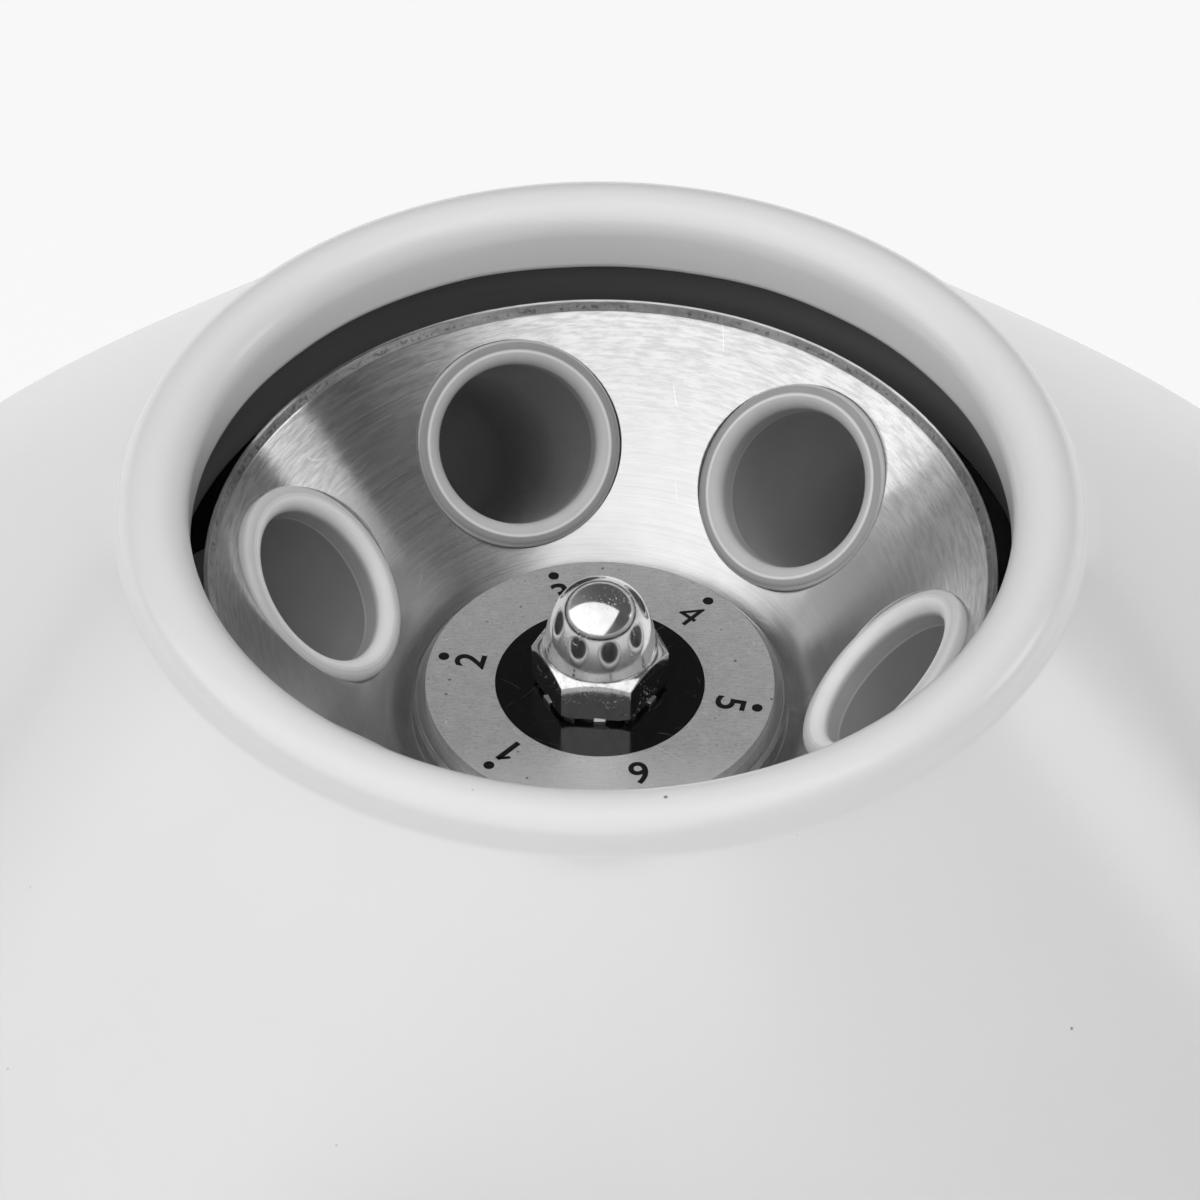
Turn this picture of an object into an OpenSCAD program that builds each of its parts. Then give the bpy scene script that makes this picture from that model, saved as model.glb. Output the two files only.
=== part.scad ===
// Laboratory centrifuge with a fixed-angle head for six tubes, mouth open.
// Units are millimetres. +Z is up, the origin lies on the bench under the spindle,
// and the control panel faces -Y.

/* [Case] */
// Width of the case across its flat sides
case_w = 270; // [264:1:300]
// Radius of the case's upright corners
case_corner_r = 60; // [52:1:66]
// Wall thickness of the moulded shells
shell_t = 3; // [2.5:0.5:3.5]
// Height of the seam between hood and tray above the bench
seam_z = 100; // [96:1:106]
// Slope of the hood below its mouth, from the horizontal
hood_slope = 45; // [44:0.5:47]
// Height of the tray's lower edge above the bench
tray_z = 10; // [8:1:11]

/* [Mouth] */
// Inner radius of the open mouth
mouth_r = 57.4; // [57:0.2:59]
// Radius of the rolled bead round the mouth
bead_r = 5; // [4.6:0.2:5.6]
// Height of the bead's centre above the number disc
bead_rise = 34.4; // [33:0.2:37]
// Drop of the return lip below the bead's centre
lip_drop = 5.8; // [5:0.2:7]
// Radius of the hollow between bead and hood
bead_fillet_r = 3; // [2:0.5:4]

/* [Rotor head] */
// Outer radius of the head's rim
head_r = 55.8; // [54:0.2:56]
// Width of the rim with its sloped step
rim_w = 1.5; // [1:0.1:2.4]
// Height of the rim above the number disc
rim_rise = 24; // [22.5:0.1:24.6]
// Step of the rim above the cone's edge
rim_step = 1.3; // [0.8:0.1:1.8]
// Slope of the cone, which is also the sleeves' tilt from the upright
head_angle = 46; // [45:0.5:47]
// Wall thickness of the cone
head_wall = 6; // [5:0.5:7]
// Radius of the boss under the number disc
boss_r = 27; // [26:0.5:28]
// Turn of the head at rest, as the angle of sleeve 3
head_turn = 107.3; // [0:0.1:360]

/* [Sleeves] */
// Bore of a sleeve
sleeve_bore = 23.4; // [22:0.2:24]
// Wall thickness of a sleeve
sleeve_wall = 1.2; // [1:0.1:1.4]
// Distance of a mouth's centre from the spindle
sleeve_ring_r = 40.2; // [39.6:0.2:41]
// Height of a mouth's centre above the number disc
sleeve_rise = 11.1; // [10.7:0.1:11.6]
// Radius of the flange
flange_r = 15.2; // [15:0.1:15.5]
// Thickness of the flange
flange_t = 3.3; // [2.8:0.1:3.6]

/* [Disc and nut] */
// Diameter of the number disc
disc_d = 50; // [46:1:52]
// Thickness of the number disc
disc_t = 2; // [1.5:0.1:2.5]
// Diameter of the black centre washer
washer_d = 30; // [26:1:32]
// Thickness of the centre washer
washer_t = 0.6; // [0.4:0.1:0.8]
// Diameter of the spindle's threaded end
thread_d = 10; // [8:1:10]
// Width of the cap nut across its flats
nut_af = 17; // [16:0.5:18]
// Height of the nut's hexagon
nut_hex_h = 6.7; // [6:0.1:8]
// Whole height of the cap nut
nut_h = 15.1; // [14:0.1:17]
// Turn of the nut's flats at rest
nut_turn = -3.7; // [-30:0.1:30]

/* [Chamber] */
// Wall thickness of the bowl
bowl_t = 1.5; // [1:0.1:2]
// Clear space between sleeves and bowl
bowl_clear = 5; // [4:0.5:5.5]
// Clear space between the sleeves' ends and the bowl's floor
floor_gap = 9.3; // [8:0.1:12]
// Space between the bowl and the case's inner side
case_gap = 21.75; // [21:0.25:24]
// Thickness of the deck plate under the bowl
deck_t = 3; // [2.5:0.5:4]
// Distance of a pillar from the deck plate's edge
pillar_inset = 10.2; // [9:0.2:14]

/* [Motor] */
// Radius of the stator core
stator_r = 40; // [38:0.5:41]
// Height of the stator core
stator_h = 40; // [34:1:42]
// Depth of a pole, from the core's outside to the armature
pole_depth = 20.5; // [20:0.1:21]
// Radius of the shaft in the upper bearing
shaft_r = 6; // [5.5:0.1:6.2]
// Radius of the commutator
commutator_r = 14; // [13:0.5:15]
// Height of the rubber dampers
damper_h = 14; // [12:1:16]
// Outer radius of the fan
fan_r = 36; // [32:1:38]
// Space between the base plate and the fan
fan_gap = 4.5; // [4:0.5:8]

/* [Controls] */
// Distance of the control panel's sides from the ends of the flat front
panel_inset = 2; // [1:0.5:6]
// Height of the control panel
panel_h = 62; // [58:1:64]
// Thickness of the control panel
panel_t = 1.6; // [1.2:0.2:2.4]
// Distance of each knob from the side of the panel
knob_inset = 28; // [25:0.5:30]
// Radius of a knob's skirt
knob_r = 18; // [16:0.5:20]
// Depth of a knob
knob_h = 17; // [15:1:20]
// Tilt of the rocker each way
rocker_tilt = 9; // [7:1:10]

/* [Base] */
// Thickness of the base plate
base_t = 2.5; // [2:0.5:3]
// Height of the suction feet
foot_h = 14; // [13:1:16]
// Distance of a foot from the screw post beside it, along each side
foot_inset = 11; // [10:0.5:16]
// Radius of a suction foot
foot_r = 19; // [16:1:22]

/* [Hidden] */
$fn = 96;
eps = 0.01;
// Gap between pieces that move past each other
move_gap = 0.3;
// Radial clearance of a shaft in its bearing hole
run_gap = 0.05;
// Gap between pieces that are screwed or dropped together
seat_gap = 0.02;
half_w = case_w / 2;
sleeve_count = 6;
corners = [[1, 1], [-1, 1], [-1, -1], [1, -1]];
post_at = half_w - case_corner_r / 2 - 4;
foot_at = post_at - foot_inset;
// Bowl and sleeves, sized by the room in the case
bowl_r = half_w - shell_t - case_gap - bowl_t;
sleeve_or = sleeve_bore / 2 + sleeve_wall;
tip_c_r = bowl_r - bowl_clear - sleeve_or;
sleeve_body = (tip_c_r - sleeve_ring_r) / sin(head_angle);
// Heights worked up from the bench
base_top = foot_h + base_t;
lower_z = base_top + fan_gap + 19;
lower_t = 6;
stator_z = lower_z + 32;
bracket_z = stator_z + stator_h + 8.5;
bracket_t = 6;
deck_z = bracket_z + bracket_t + damper_h;
floor_z = deck_z + deck_t + bowl_t;
tip_c_z = floor_z + floor_gap + sleeve_or;
sleeve_mouth_z = tip_c_z + sleeve_body * cos(head_angle);
disc_z = sleeve_mouth_z - sleeve_rise;
shoulder_z = disc_z - 34;
bead_z = disc_z + bead_rise;
bead_c = mouth_r + bead_r;
lip_z = bead_z - lip_drop;
groove_z = bead_z - 1.4;
// Hood surface: a cone that runs into an upright rounded square
hood_r = bead_c + bead_r + 0.1;
hood_z = bead_z + 0.1;
hood_segments = 80;
fillet_depth = cos(hood_slope) * (bead_z - hood_z) + sin(hood_slope) * (bead_c - hood_r);
fillet_run = sqrt(pow(bead_r + bead_fillet_r, 2) - pow(bead_fillet_r - fillet_depth, 2));
fillet_c = [bead_c + fillet_run * cos(hood_slope) + (bead_fillet_r - fillet_depth) * sin(hood_slope),
    bead_z - fillet_run * sin(hood_slope) + (bead_fillet_r - fillet_depth) * cos(hood_slope)];
fillet_a = atan2(fillet_c[1] - bead_z, fillet_c[0] - bead_c);
fillet_end_z = fillet_c[1] - bead_fillet_r * cos(hood_slope);
// Rotor head
cone_edge_r = head_r - rim_w;
cone_edge_z = disc_z + rim_rise - rim_step;
boss_z = disc_z - disc_t;
head_drop = head_wall / cos(head_angle);
head_hub_r = boss_r - 5;
head_hub_z = disc_z - 22;
// Radial clearance of a flange in its spot face
flange_gap = 0.08;
// Chamber bowl
neck_r = mouth_r + shell_t + 0.6;
neck_top = groove_z - 1.5;
bowl_corner_r = 8;
neck_hole_r = 22;
motor_neck_r = 18;
motor_neck_z = floor_z + 12;
deck_r = bowl_r - bowl_corner_r;
pillar_at = (deck_r - pillar_inset) / sqrt(2);
// Motor
armature_r = stator_r - pole_depth;
damper_at = stator_r + 10;
bolt_at = stator_r + 7;
// Bearings, as bore radius, outer radius and width
upper_bearing = [shaft_r, shaft_r + 8, 8];
lower_bearing = [4, 11, 7];
upper_bearing_z = motor_neck_z - 10;
lower_bearing_z = lower_z - 3;
// Front face and the pieces on it
front_y = -half_w;
panel_w = 2 * (half_w - case_corner_r - panel_inset);
knob_at = panel_w / 2 - knob_inset;
panel_z = (tray_z + seam_z) / 2 + 2;
rocker_z = panel_z - 7;
lamp_z = panel_z + 20;
dial_shaft_r = 3;
bush_r = 4.5;
knob_gap = 1;
rocker_pivot_y = front_y - panel_t + 3;
gland_at = [half_w - case_corner_r - 13, 36];
board_y = half_w - shell_t - 58;
gland_bore_r = 3.6;

// Helper functions

// Points of an arc about c from angle a0 to a1
function arc(c, r, a0, a1, n) = [for (i = [0:n]) c + r * [cos(a0 + (a1 - a0) * i / n), sin(a0 + (a1 - a0) * i / n)]];

// Distance from the centre to a rounded square's edge in direction a
function square_r(a, w, c) =
    let (b = (a + 360) % 90, m = b > 45 ? 90 - b : b, p = w - c)
    tan(m) <= p / w ? w / cos(m)
        : p * (cos(m) + sin(m)) + sqrt(max(c * c - pow(p * (cos(m) - sin(m)), 2), 0));

// Lesser of two values, rounded off where they are less than k apart
function smooth_min(a, b, k) = let (h = max(k - abs(a - b), 0) / k) min(a, b) - h * h * k / 4;

// Hood radius in direction a at height z, with its surface drawn in by t
function hood_at(a, z, t) =
    let (s = square_r(a, half_w - t, case_corner_r - t), in = hood_r - t / sin(hood_slope))
    smooth_min(in + (hood_z - z) / tan(hood_slope), s, in + (hood_z - seam_z) / tan(hood_slope) - s);

// Closed section of the hood in direction a, as radius and height
function hood_section(a) =
    let (rows_out = 16, rows_in = 10, in_top = groove_z)
    concat(
        [for (i = [0:rows_out]) let (z = seam_z + (fillet_end_z - seam_z) * i / rows_out) [hood_at(a, z, 0), z]],
        [for (i = [1:3]) fillet_c + bead_fillet_r * [cos(270 - hood_slope * (1 - i / 3) + (fillet_a - 90) * i / 3),
            sin(270 - hood_slope * (1 - i / 3) + (fillet_a - 90) * i / 3)]],
        arc([bead_c, bead_z], bead_r, fillet_a + (180 - fillet_a) / 10, 180, 9),
        [[mouth_r, lip_z + 0.8], [mouth_r + 0.8, lip_z], [mouth_r + shell_t, lip_z], [mouth_r + shell_t, in_top]],
        [for (i = [rows_in:-1:0]) let (z = seam_z + (in_top - seam_z) * i / rows_in) [hood_at(a, z, shell_t), z]]);

// Height of the bowl's inner shoulder at radius r, clear of the sleeves
function bowl_shoulder_z(r) =
    let (d = sleeve_or + bowl_clear)
    sleeve_mouth_z + d * sin(head_angle) - (r - sleeve_ring_r - d * cos(head_angle)) / tan(head_angle);

// Height of the rotor cone's face at radius r
function cone_z(r) = cone_edge_z - (cone_edge_r - r) * tan(head_angle);

// Angle of sleeve k
function sleeve_angle(k) = head_turn - (k - 3) * 360 / sleeve_count;

// Shared shapes

// Flat rounded square of half width w and corner radius c
module rounded_square(w, c) {
    square([2 * w, 2 * (w - c)], center = true);
    square([2 * (w - c), 2 * w], center = true);
    for (s = corners)
        translate([s[0] * (w - c), s[1] * (w - c)]) circle(c);
}

// Children at the four corners (at, at)
module at_corners(at) {
    for (s = corners)
        translate([s[0] * at, s[1] * at, 0]) children();
}

// Children at n even steps round the spindle
module around(n, r, a0 = 0) {
    for (i = [0:n - 1])
        rotate(a0 + i * 360 / n) translate([r, 0, 0]) children();
}

// Tube from z0 to z1
module tube(ro, ri, z0, z1) {
    translate([0, 0, z0]) difference() {
        cylinder(r = ro, h = z1 - z0);
        translate([0, 0, -1]) cylinder(r = ri, h = z1 - z0 + 2);
    }
}

// Pan-head screw, its head's underside at z = 0 and its shank downwards
module pan_screw(r, length) {
    translate([0, 0, -length]) cylinder(r = r, h = length + eps, $fn = 32);
    difference() {
        cylinder(r1 = 2 * r, r2 = 1.5 * r, h = 1.2 * r, $fn = 32);
        translate([0, 0, 0.9 * r]) cube([0.4 * r, 2.4 * r, r], center = true);
        translate([0, 0, 0.9 * r]) cube([2.4 * r, 0.4 * r, r], center = true);
    }
}

// Children with their +Z turned out of the front face, at x and z
module on_front(x, z) {
    translate([x, front_y, z]) rotate([90, 0, 0]) children();
}

// Children in the frame of sleeve k: the mouth's centre is the origin, +Z leaves the mouth
module sleeve_frame(k) {
    rotate(sleeve_angle(k)) translate([sleeve_ring_r, 0, sleeve_mouth_z]) rotate([0, -head_angle, 0]) children();
}

// Case

// One moulded hood: bead, return lip and a cone that grows into the square case
module hood() {
    sections = [for (j = [0:hood_segments - 1]) hood_section(j * 360 / hood_segments)];
    n = len(sections[0]);
    points = [for (j = [0:hood_segments - 1]) let (a = j * 360 / hood_segments)
        for (p = sections[j]) [p[0] * cos(a), p[0] * sin(a), p[1]]];
    faces = [for (j = [0:hood_segments - 1]) for (i = [0:n - 1])
        let (j2 = (j + 1) % hood_segments, i2 = (i + 1) % n)
        for (t = [[j * n + i, j * n + i2, j2 * n + i2], [j * n + i, j2 * n + i2, j2 * n + i]]) t];
    color("white") polyhedron(points, faces, convexity = 8);
}

// Lower case with a tongue that centres the hood, screw posts, openings and air slots
module tray() {
    inner = half_w - shell_t;
    tongue_h = 5;
    tongue_gap = 1.2;
    ledge_w = tongue_gap + 2.2;
    color("white") difference() {
        union() {
            translate([0, 0, tray_z]) linear_extrude(seam_z - tray_z) rounded_square(half_w, case_corner_r);
            translate([0, 0, seam_z - eps]) linear_extrude(tongue_h)
                rounded_square(inner - tongue_gap, case_corner_r - shell_t - tongue_gap);
        }
        difference() {
            translate([0, 0, tray_z - 1]) linear_extrude(seam_z - tray_z + tongue_h + 2)
                rounded_square(inner, case_corner_r - shell_t);
            // Ledge under the tongue
            translate([0, 0, seam_z - 6]) linear_extrude(tongue_h + 20)
                difference() {
                    rounded_square(inner + 1, case_corner_r - shell_t + 1);
                    rounded_square(inner - ledge_w, case_corner_r - shell_t - ledge_w);
                }
            at_corners(post_at) translate([0, 0, base_top]) cylinder(r = 6, h = 30);
            // Webs that tie the posts to the corners
            for (a = [45:90:315])
                rotate(a) translate([post_at * sqrt(2), -1.25, base_top])
                    cube([case_corner_r, 2.5, 30]);
        }
        at_corners(post_at) translate([0, 0, base_top - 1]) cylinder(r = 2, h = 16);
        // Openings for the controls
        for (x = [-knob_at, knob_at])
            on_front(x, panel_z) translate([0, 0, -shell_t - 1]) cylinder(r = bush_r + 0.2, h = shell_t + 2);
        on_front(0, lamp_z) translate([0, 0, -shell_t - 1]) cylinder(r = 4.2, h = shell_t + 2);
        translate([0, front_y + shell_t / 2, rocker_z]) cube([17.4, shell_t + 2, 25.4], center = true);
        // Gland hole and air slots at the rear
        translate([gland_at[0], half_w + 1, gland_at[1]]) rotate([90, 0, 0]) cylinder(r = 7.2, h = shell_t + 2);
        for (i = [-5:5])
            translate([i * 8 - 10, half_w - shell_t / 2, panel_z]) cube([3.4, shell_t + 2, 34], center = true);
    }
}

// Flat steel base with air slots under the fan
module base_plate() {
    fit = half_w - shell_t - 0.4;
    color("dimgray") difference() {
        translate([0, 0, foot_h]) linear_extrude(base_t) rounded_square(fit, case_corner_r - shell_t - 0.4);
        at_corners(foot_at) translate([0, 0, foot_h - 1]) cylinder(r = 3.2, h = base_t + 2);
        at_corners(post_at) translate([0, 0, foot_h - 1]) cylinder(r = 2.3, h = base_t + 2);
        at_corners(pillar_at) translate([0, 0, foot_h - 1]) cylinder(r = 2.3, h = base_t + 2);
        around(16, 24) translate([0, -2, foot_h - 1]) cube([22, 4, base_t + 2]);
    }
}

// Rubber suction foot with its moulded-in stud
module foot(i) {
    neck = 7;
    color("#202020") translate([corners[i][0] * foot_at, corners[i][1] * foot_at, 0]) {
        rotate_extrude() polygon(concat(
            [[0, 3.2], [foot_r * 0.45, 2.6], [foot_r - 3, 0], [foot_r, 0], [foot_r, 1.6]],
            arc([foot_r, foot_h * 0.62], foot_h * 0.62 - 1.6, 260, 200, 5),
            [[neck, foot_h - 3], [neck + 2, foot_h - 2], [neck + 2, foot_h], [0, foot_h]]));
        translate([0, 0, foot_h - 1]) cylinder(r = 3, h = base_t + 8);
    }
}

module foot_nuts() {
    color("silver") at_corners(foot_at) difference() {
        translate([0, 0, base_top]) cylinder(r = 5.8, h = 4.5, $fn = 6);
        translate([0, 0, base_top - 1]) cylinder(r = 3 + seat_gap, h = 7);
    }
}

// Screws through the base plate into the tray's posts and the pillars
module base_screws() {
    color("silver") for (at = [post_at, pillar_at])
        at_corners(at) translate([0, 0, foot_h]) rotate([180, 0, 0]) pan_screw(1.9, base_t + 8);
}

// Chamber and its support

module pillars() {
    color("silver") at_corners(pillar_at) difference() {
        translate([0, 0, base_top]) cylinder(r = 6.5, h = deck_z - base_top, $fn = 6);
        translate([0, 0, base_top - 1]) cylinder(r = 1.9 + seat_gap, h = 14);
        translate([0, 0, deck_z - 13]) cylinder(r = 1.9 + seat_gap, h = 14);
    }
}

module deck_plate() {
    color("gray") difference() {
        tube(deck_r, neck_hole_r + 2, deck_z, deck_z + deck_t);
        at_corners(pillar_at) translate([0, 0, deck_z - 1]) cylinder(r = 2.3, h = deck_t + 2);
        around(4, damper_at) translate([0, 0, deck_z - 1]) cylinder(r = 3 + seat_gap, h = deck_t + 2);
    }
}

module deck_screws() {
    color("silver") at_corners(pillar_at) translate([0, 0, floor_z]) pan_screw(1.9, deck_t + bowl_t + 8);
}

// Spun liner: neck round the lip, shoulder along the sleeves, wall, floor and a drip collar
module chamber_bowl() {
    slope_t = bowl_t / sin(head_angle);
    color("#303030") difference() {
        rotate_extrude() polygon(concat(
            [[neck_r, neck_top], [neck_r, bowl_shoulder_z(neck_r)]],
            arc([tip_c_r, tip_c_z], sleeve_or + bowl_clear, head_angle, 0, 5),
            arc([bowl_r - bowl_corner_r, floor_z + bowl_corner_r], bowl_corner_r, 0, -90, 6),
            [[neck_hole_r + bowl_t, floor_z], [neck_hole_r + bowl_t, floor_z + 6], [neck_hole_r, floor_z + 6],
                [neck_hole_r, floor_z - bowl_t]],
            arc([bowl_r - bowl_corner_r, floor_z + bowl_corner_r], bowl_corner_r + bowl_t, -90, 0, 6),
            arc([tip_c_r, tip_c_z], sleeve_or + bowl_clear + bowl_t, 0, head_angle, 5),
            [[neck_r + bowl_t, bowl_shoulder_z(neck_r + bowl_t) + slope_t], [neck_r + bowl_t, neck_top]]));
        at_corners(pillar_at) translate([0, 0, floor_z - bowl_t - 1]) cylinder(r = 2.3, h = bowl_t + 2);
    }
}

// Rubber ring between the bowl's neck and the bead
module bowl_seal() {
    color("#181818") tube(neck_r + 3, neck_r - 0.3, neck_top + seat_gap, groove_z - 0.1);
}

// Rubber collar between the bowl's floor and the motor's neck
module neck_seal() {
    color("#181818") rotate_extrude() polygon([
        [motor_neck_r + seat_gap, floor_z - bowl_t], [neck_hole_r - 0.1, floor_z - bowl_t],
        [neck_hole_r - 0.1, floor_z + 6.1], [neck_hole_r + 4, floor_z + 6.1],
        [neck_hole_r + 4, floor_z + 8], [motor_neck_r + seat_gap, floor_z + 9.5]]);
}

// Motor, fixed pieces

// Upper end bracket with the tall bearing neck
module upper_bracket() {
    top = bracket_z + bracket_t;
    color("lightgray") difference() {
        union() {
            translate([0, 0, bracket_z]) cylinder(r = damper_at + 9.5, h = bracket_t);
            tube(stator_r + 3, stator_r - 3, bracket_z - 8.5, bracket_z + eps);
            translate([0, 0, top - eps]) cylinder(r1 = motor_neck_r + 6, r2 = motor_neck_r, h = 6);
            translate([0, 0, top - eps]) cylinder(r = motor_neck_r, h = motor_neck_z - top);
        }
        translate([0, 0, bracket_z - 1]) cylinder(r = shaft_r + 3, h = motor_neck_z - bracket_z + 2);
        translate([0, 0, upper_bearing_z]) cylinder(r = upper_bearing[1] + seat_gap, h = 20);
        around(4, damper_at) translate([0, 0, bracket_z - 1]) cylinder(r = 3.2, h = bracket_t + 2);
        around(4, bolt_at, 45) translate([0, 0, bracket_z - 1]) cylinder(r = 2.6, h = bracket_t + 2);
        around(8, 29, 22.5) translate([0, 0, bracket_z - 1]) cylinder(r = 4.5, h = bracket_t + 2);
    }
}

// Lower end bracket: a windowed cup with the lower bearing's boss
module lower_bracket() {
    color("lightgray") difference() {
        union() {
            translate([0, 0, lower_z]) cylinder(r = bolt_at + 5, h = lower_t);
            tube(stator_r + 3, stator_r - 3, lower_z + lower_t - eps, stator_z);
            translate([0, 0, lower_z - 6]) cylinder(r = lower_bearing[1] + 4, h = 6 + eps);
        }
        translate([0, 0, lower_z - 8]) cylinder(r = shaft_r + 0.5, h = lower_t + 12);
        translate([0, 0, lower_bearing_z]) cylinder(r = lower_bearing[1] + seat_gap, h = 20);
        around(4, bolt_at, 45) translate([0, 0, lower_z - 1]) cylinder(r = 2.6, h = lower_t + 2);
        around(8, 29, 22.5) translate([0, 0, lower_z - 1]) cylinder(r = 4.5, h = lower_t + 2);
        // Seats of the brush holders and air windows beside them
        for (a = [90, 270])
            rotate(a) translate([stator_r, 0, lower_z + 18]) cube([20, 9.04, 10.04], center = true);
        for (a = [45:90:315])
            rotate(a) translate([stator_r, 0, lower_z + 18]) cube([20, 24, 12], center = true);
    }
}

// Laminated core with two salient poles
module stator_core() {
    bore = armature_r + 0.7;
    yoke = stator_r - 9;
    color("slategray") translate([0, 0, stator_z]) linear_extrude(stator_h) difference() {
        union() {
            difference() {
                circle(stator_r);
                circle(yoke);
            }
            square([2 * yoke + 2, 22], center = true);
            // Pole shoes
            intersection() {
                circle(bore + 3.8);
                union() {
                    polygon([[0, 0], [60, 70], [60, -70]]);
                    polygon([[0, 0], [-60, 70], [-60, -70]]);
                }
            }
        }
        circle(bore);
    }
}

// One field coil round each pole
module field_coils() {
    inner = armature_r + 4.9;
    outer = stator_r - 9.4;
    over = 6;
    color("peru") for (a = [0, 180]) rotate(a) difference() {
        translate([0, 0, stator_z - over]) linear_extrude(stator_h + 2 * over) intersection() {
            difference() {
                circle(outer);
                circle(inner);
            }
            polygon([[0, 0], [60, 70], [60, -70]]);
        }
        translate([0, -11.3, stator_z - 0.3]) cube([60, 22.6, stator_h + 0.6]);
    }
}

// Outer ring of a ball bearing, its raceway cut for the balls
module bearing_race(size, z) {
    pitch = (size[0] + size[1]) / 2;
    color("silver") difference() {
        tube(size[1], pitch + 1.5, z, z + size[2]);
        translate([0, 0, z + size[2] / 2]) rotate_extrude() translate([pitch, 0]) circle(1.98, $fn = 24);
    }
}

// Inner ring of a ball bearing with its balls
module bearing_core(size, z) {
    pitch = (size[0] + size[1]) / 2;
    color("silver") {
        difference() {
            tube(pitch - 1.5, size[0] + seat_gap, z, z + size[2]);
            translate([0, 0, z + size[2] / 2]) rotate_extrude() translate([pitch, 0]) circle(1.92, $fn = 24);
        }
        translate([0, 0, z + size[2] / 2]) around(8, pitch) sphere(1.9, $fn = 24);
    }
}

module brush_holders() {
    color("goldenrod") for (a = [90, 270]) rotate(a) translate([0, 0, lower_z + 18]) difference() {
        translate([commutator_r + 2, -4.5, -5]) cube([stator_r - commutator_r + 6, 9, 10]);
        translate([commutator_r, -3.5, -4]) cube([stator_r - commutator_r + 5, 7, 8]);
    }
}

module carbon_brushes() {
    color("#282828") for (a = [90, 270]) rotate(a) difference() {
        translate([commutator_r - 3, -3.45, lower_z + 14.05]) cube([stator_r - commutator_r - 8, 6.9, 7.9]);
        translate([0, 0, lower_z]) cylinder(r = commutator_r + run_gap, h = 40);
    }
}

module motor_bolts() {
    color("silver") around(4, bolt_at, 45) {
        translate([0, 0, lower_z - 6]) cylinder(r = 2.5, h = bracket_z + bracket_t - lower_z + 10.5, $fn = 32);
        translate([0, 0, lower_z - 4]) cylinder(r = 4.6, h = 4, $fn = 6);
        translate([0, 0, bracket_z + bracket_t]) cylinder(r = 4.6, h = 3.5, $fn = 6);
    }
}

module dampers() {
    z = bracket_z + bracket_t;
    color("#202020") around(4, damper_at) difference() {
        translate([0, 0, z]) rotate_extrude() polygon(concat(
            [[0, 0], [9, 0], [9, 3]],
            arc([12, damper_h / 2], damper_h / 2 - 2.2, 240, 120, 6),
            [[9, damper_h - 3], [9, damper_h], [0, damper_h]]));
        translate([0, 0, z - 1]) cylinder(r = 3.2, h = damper_h + 2);
    }
}

module damper_bolts() {
    color("silver") around(4, damper_at) {
        translate([0, 0, bracket_z - eps]) cylinder(r = 3, h = deck_z + deck_t - bracket_z, $fn = 32);
        translate([0, 0, bracket_z - 4]) cylinder(r = 5.8, h = 4, $fn = 6);
    }
}

// Spindle group, which turns

// Stepped shaft with the threaded end under the cap nut
module motor_shaft() {
    color("silver") {
        translate([0, 0, lower_z - 20]) cylinder(r = 4, h = 20 + lower_t + eps);
        translate([0, 0, lower_z + lower_t]) cylinder(r = shaft_r, h = shoulder_z - lower_z - lower_t);
        translate([0, 0, shoulder_z - eps]) cylinder(r = thread_d / 2, h = disc_z + 9 - shoulder_z);
    }
}

module armature_core() {
    color("slategray") translate([0, 0, stator_z + 2]) linear_extrude(stator_h - 4) difference() {
        circle(armature_r);
        circle(shaft_r + seat_gap);
        around(12, armature_r - 3) circle(2);
        around(12, armature_r - 2) square([4.2, 1.4], center = true);
    }
}

// Bars in the slots, joined by the end turns
module armature_winding() {
    z0 = stator_z + 2;
    z1 = stator_z + stator_h - 2;
    color("peru") {
        around(12, armature_r - 3) translate([0, 0, z0 - 1]) cylinder(r = 1.8, h = z1 - z0 + 2, $fn = 24);
        for (z = [z0 - 5.8, z1 + 0.2])
            translate([0, 0, z]) rotate_extrude() polygon(concat(
                [[shaft_r + 1.5, 0], [armature_r - 2, 0], [armature_r - 1, 1.4]],
                arc([armature_r - 4, 2.6], 3, 10, 90, 4), [[shaft_r + 1.5, 5.6]]));
    }
}

// Copper ring cut into segments
module commutator() {
    z = lower_z + 10;
    color("chocolate") difference() {
        tube(commutator_r, shaft_r + seat_gap, z, z + 16);
        for (i = [0:23])
            rotate(i * 15) translate([commutator_r - 1.5, -0.3, z - 1]) cube([3, 0.6, 18]);
    }
}

module cooling_fan() {
    z = lower_z - 19;
    bore_r = 4 + seat_gap;
    color("black") {
        translate([0, 0, z]) linear_extrude(9 + eps) difference() {
            union() {
                circle(8);
                around(9, 6) rotate(20) translate([0, -0.8]) square([fan_r - 9, 1.6]);
            }
            circle(bore_r);
        }
        tube(fan_r, bore_r, z + 9, z + 11);
    }
}

// Collar that carries the head on the shaft's shoulder
module rotor_hub() {
    color("silver") difference() {
        union() {
            translate([0, 0, shoulder_z]) cylinder(r = 14, h = head_hub_z - shoulder_z);
            translate([0, 0, head_hub_z - 4]) cylinder(r = head_hub_r - 1, h = 4);
        }
        translate([0, 0, shoulder_z - 1]) cylinder(r = thread_d / 2 + seat_gap, h = 60);
    }
}

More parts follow.
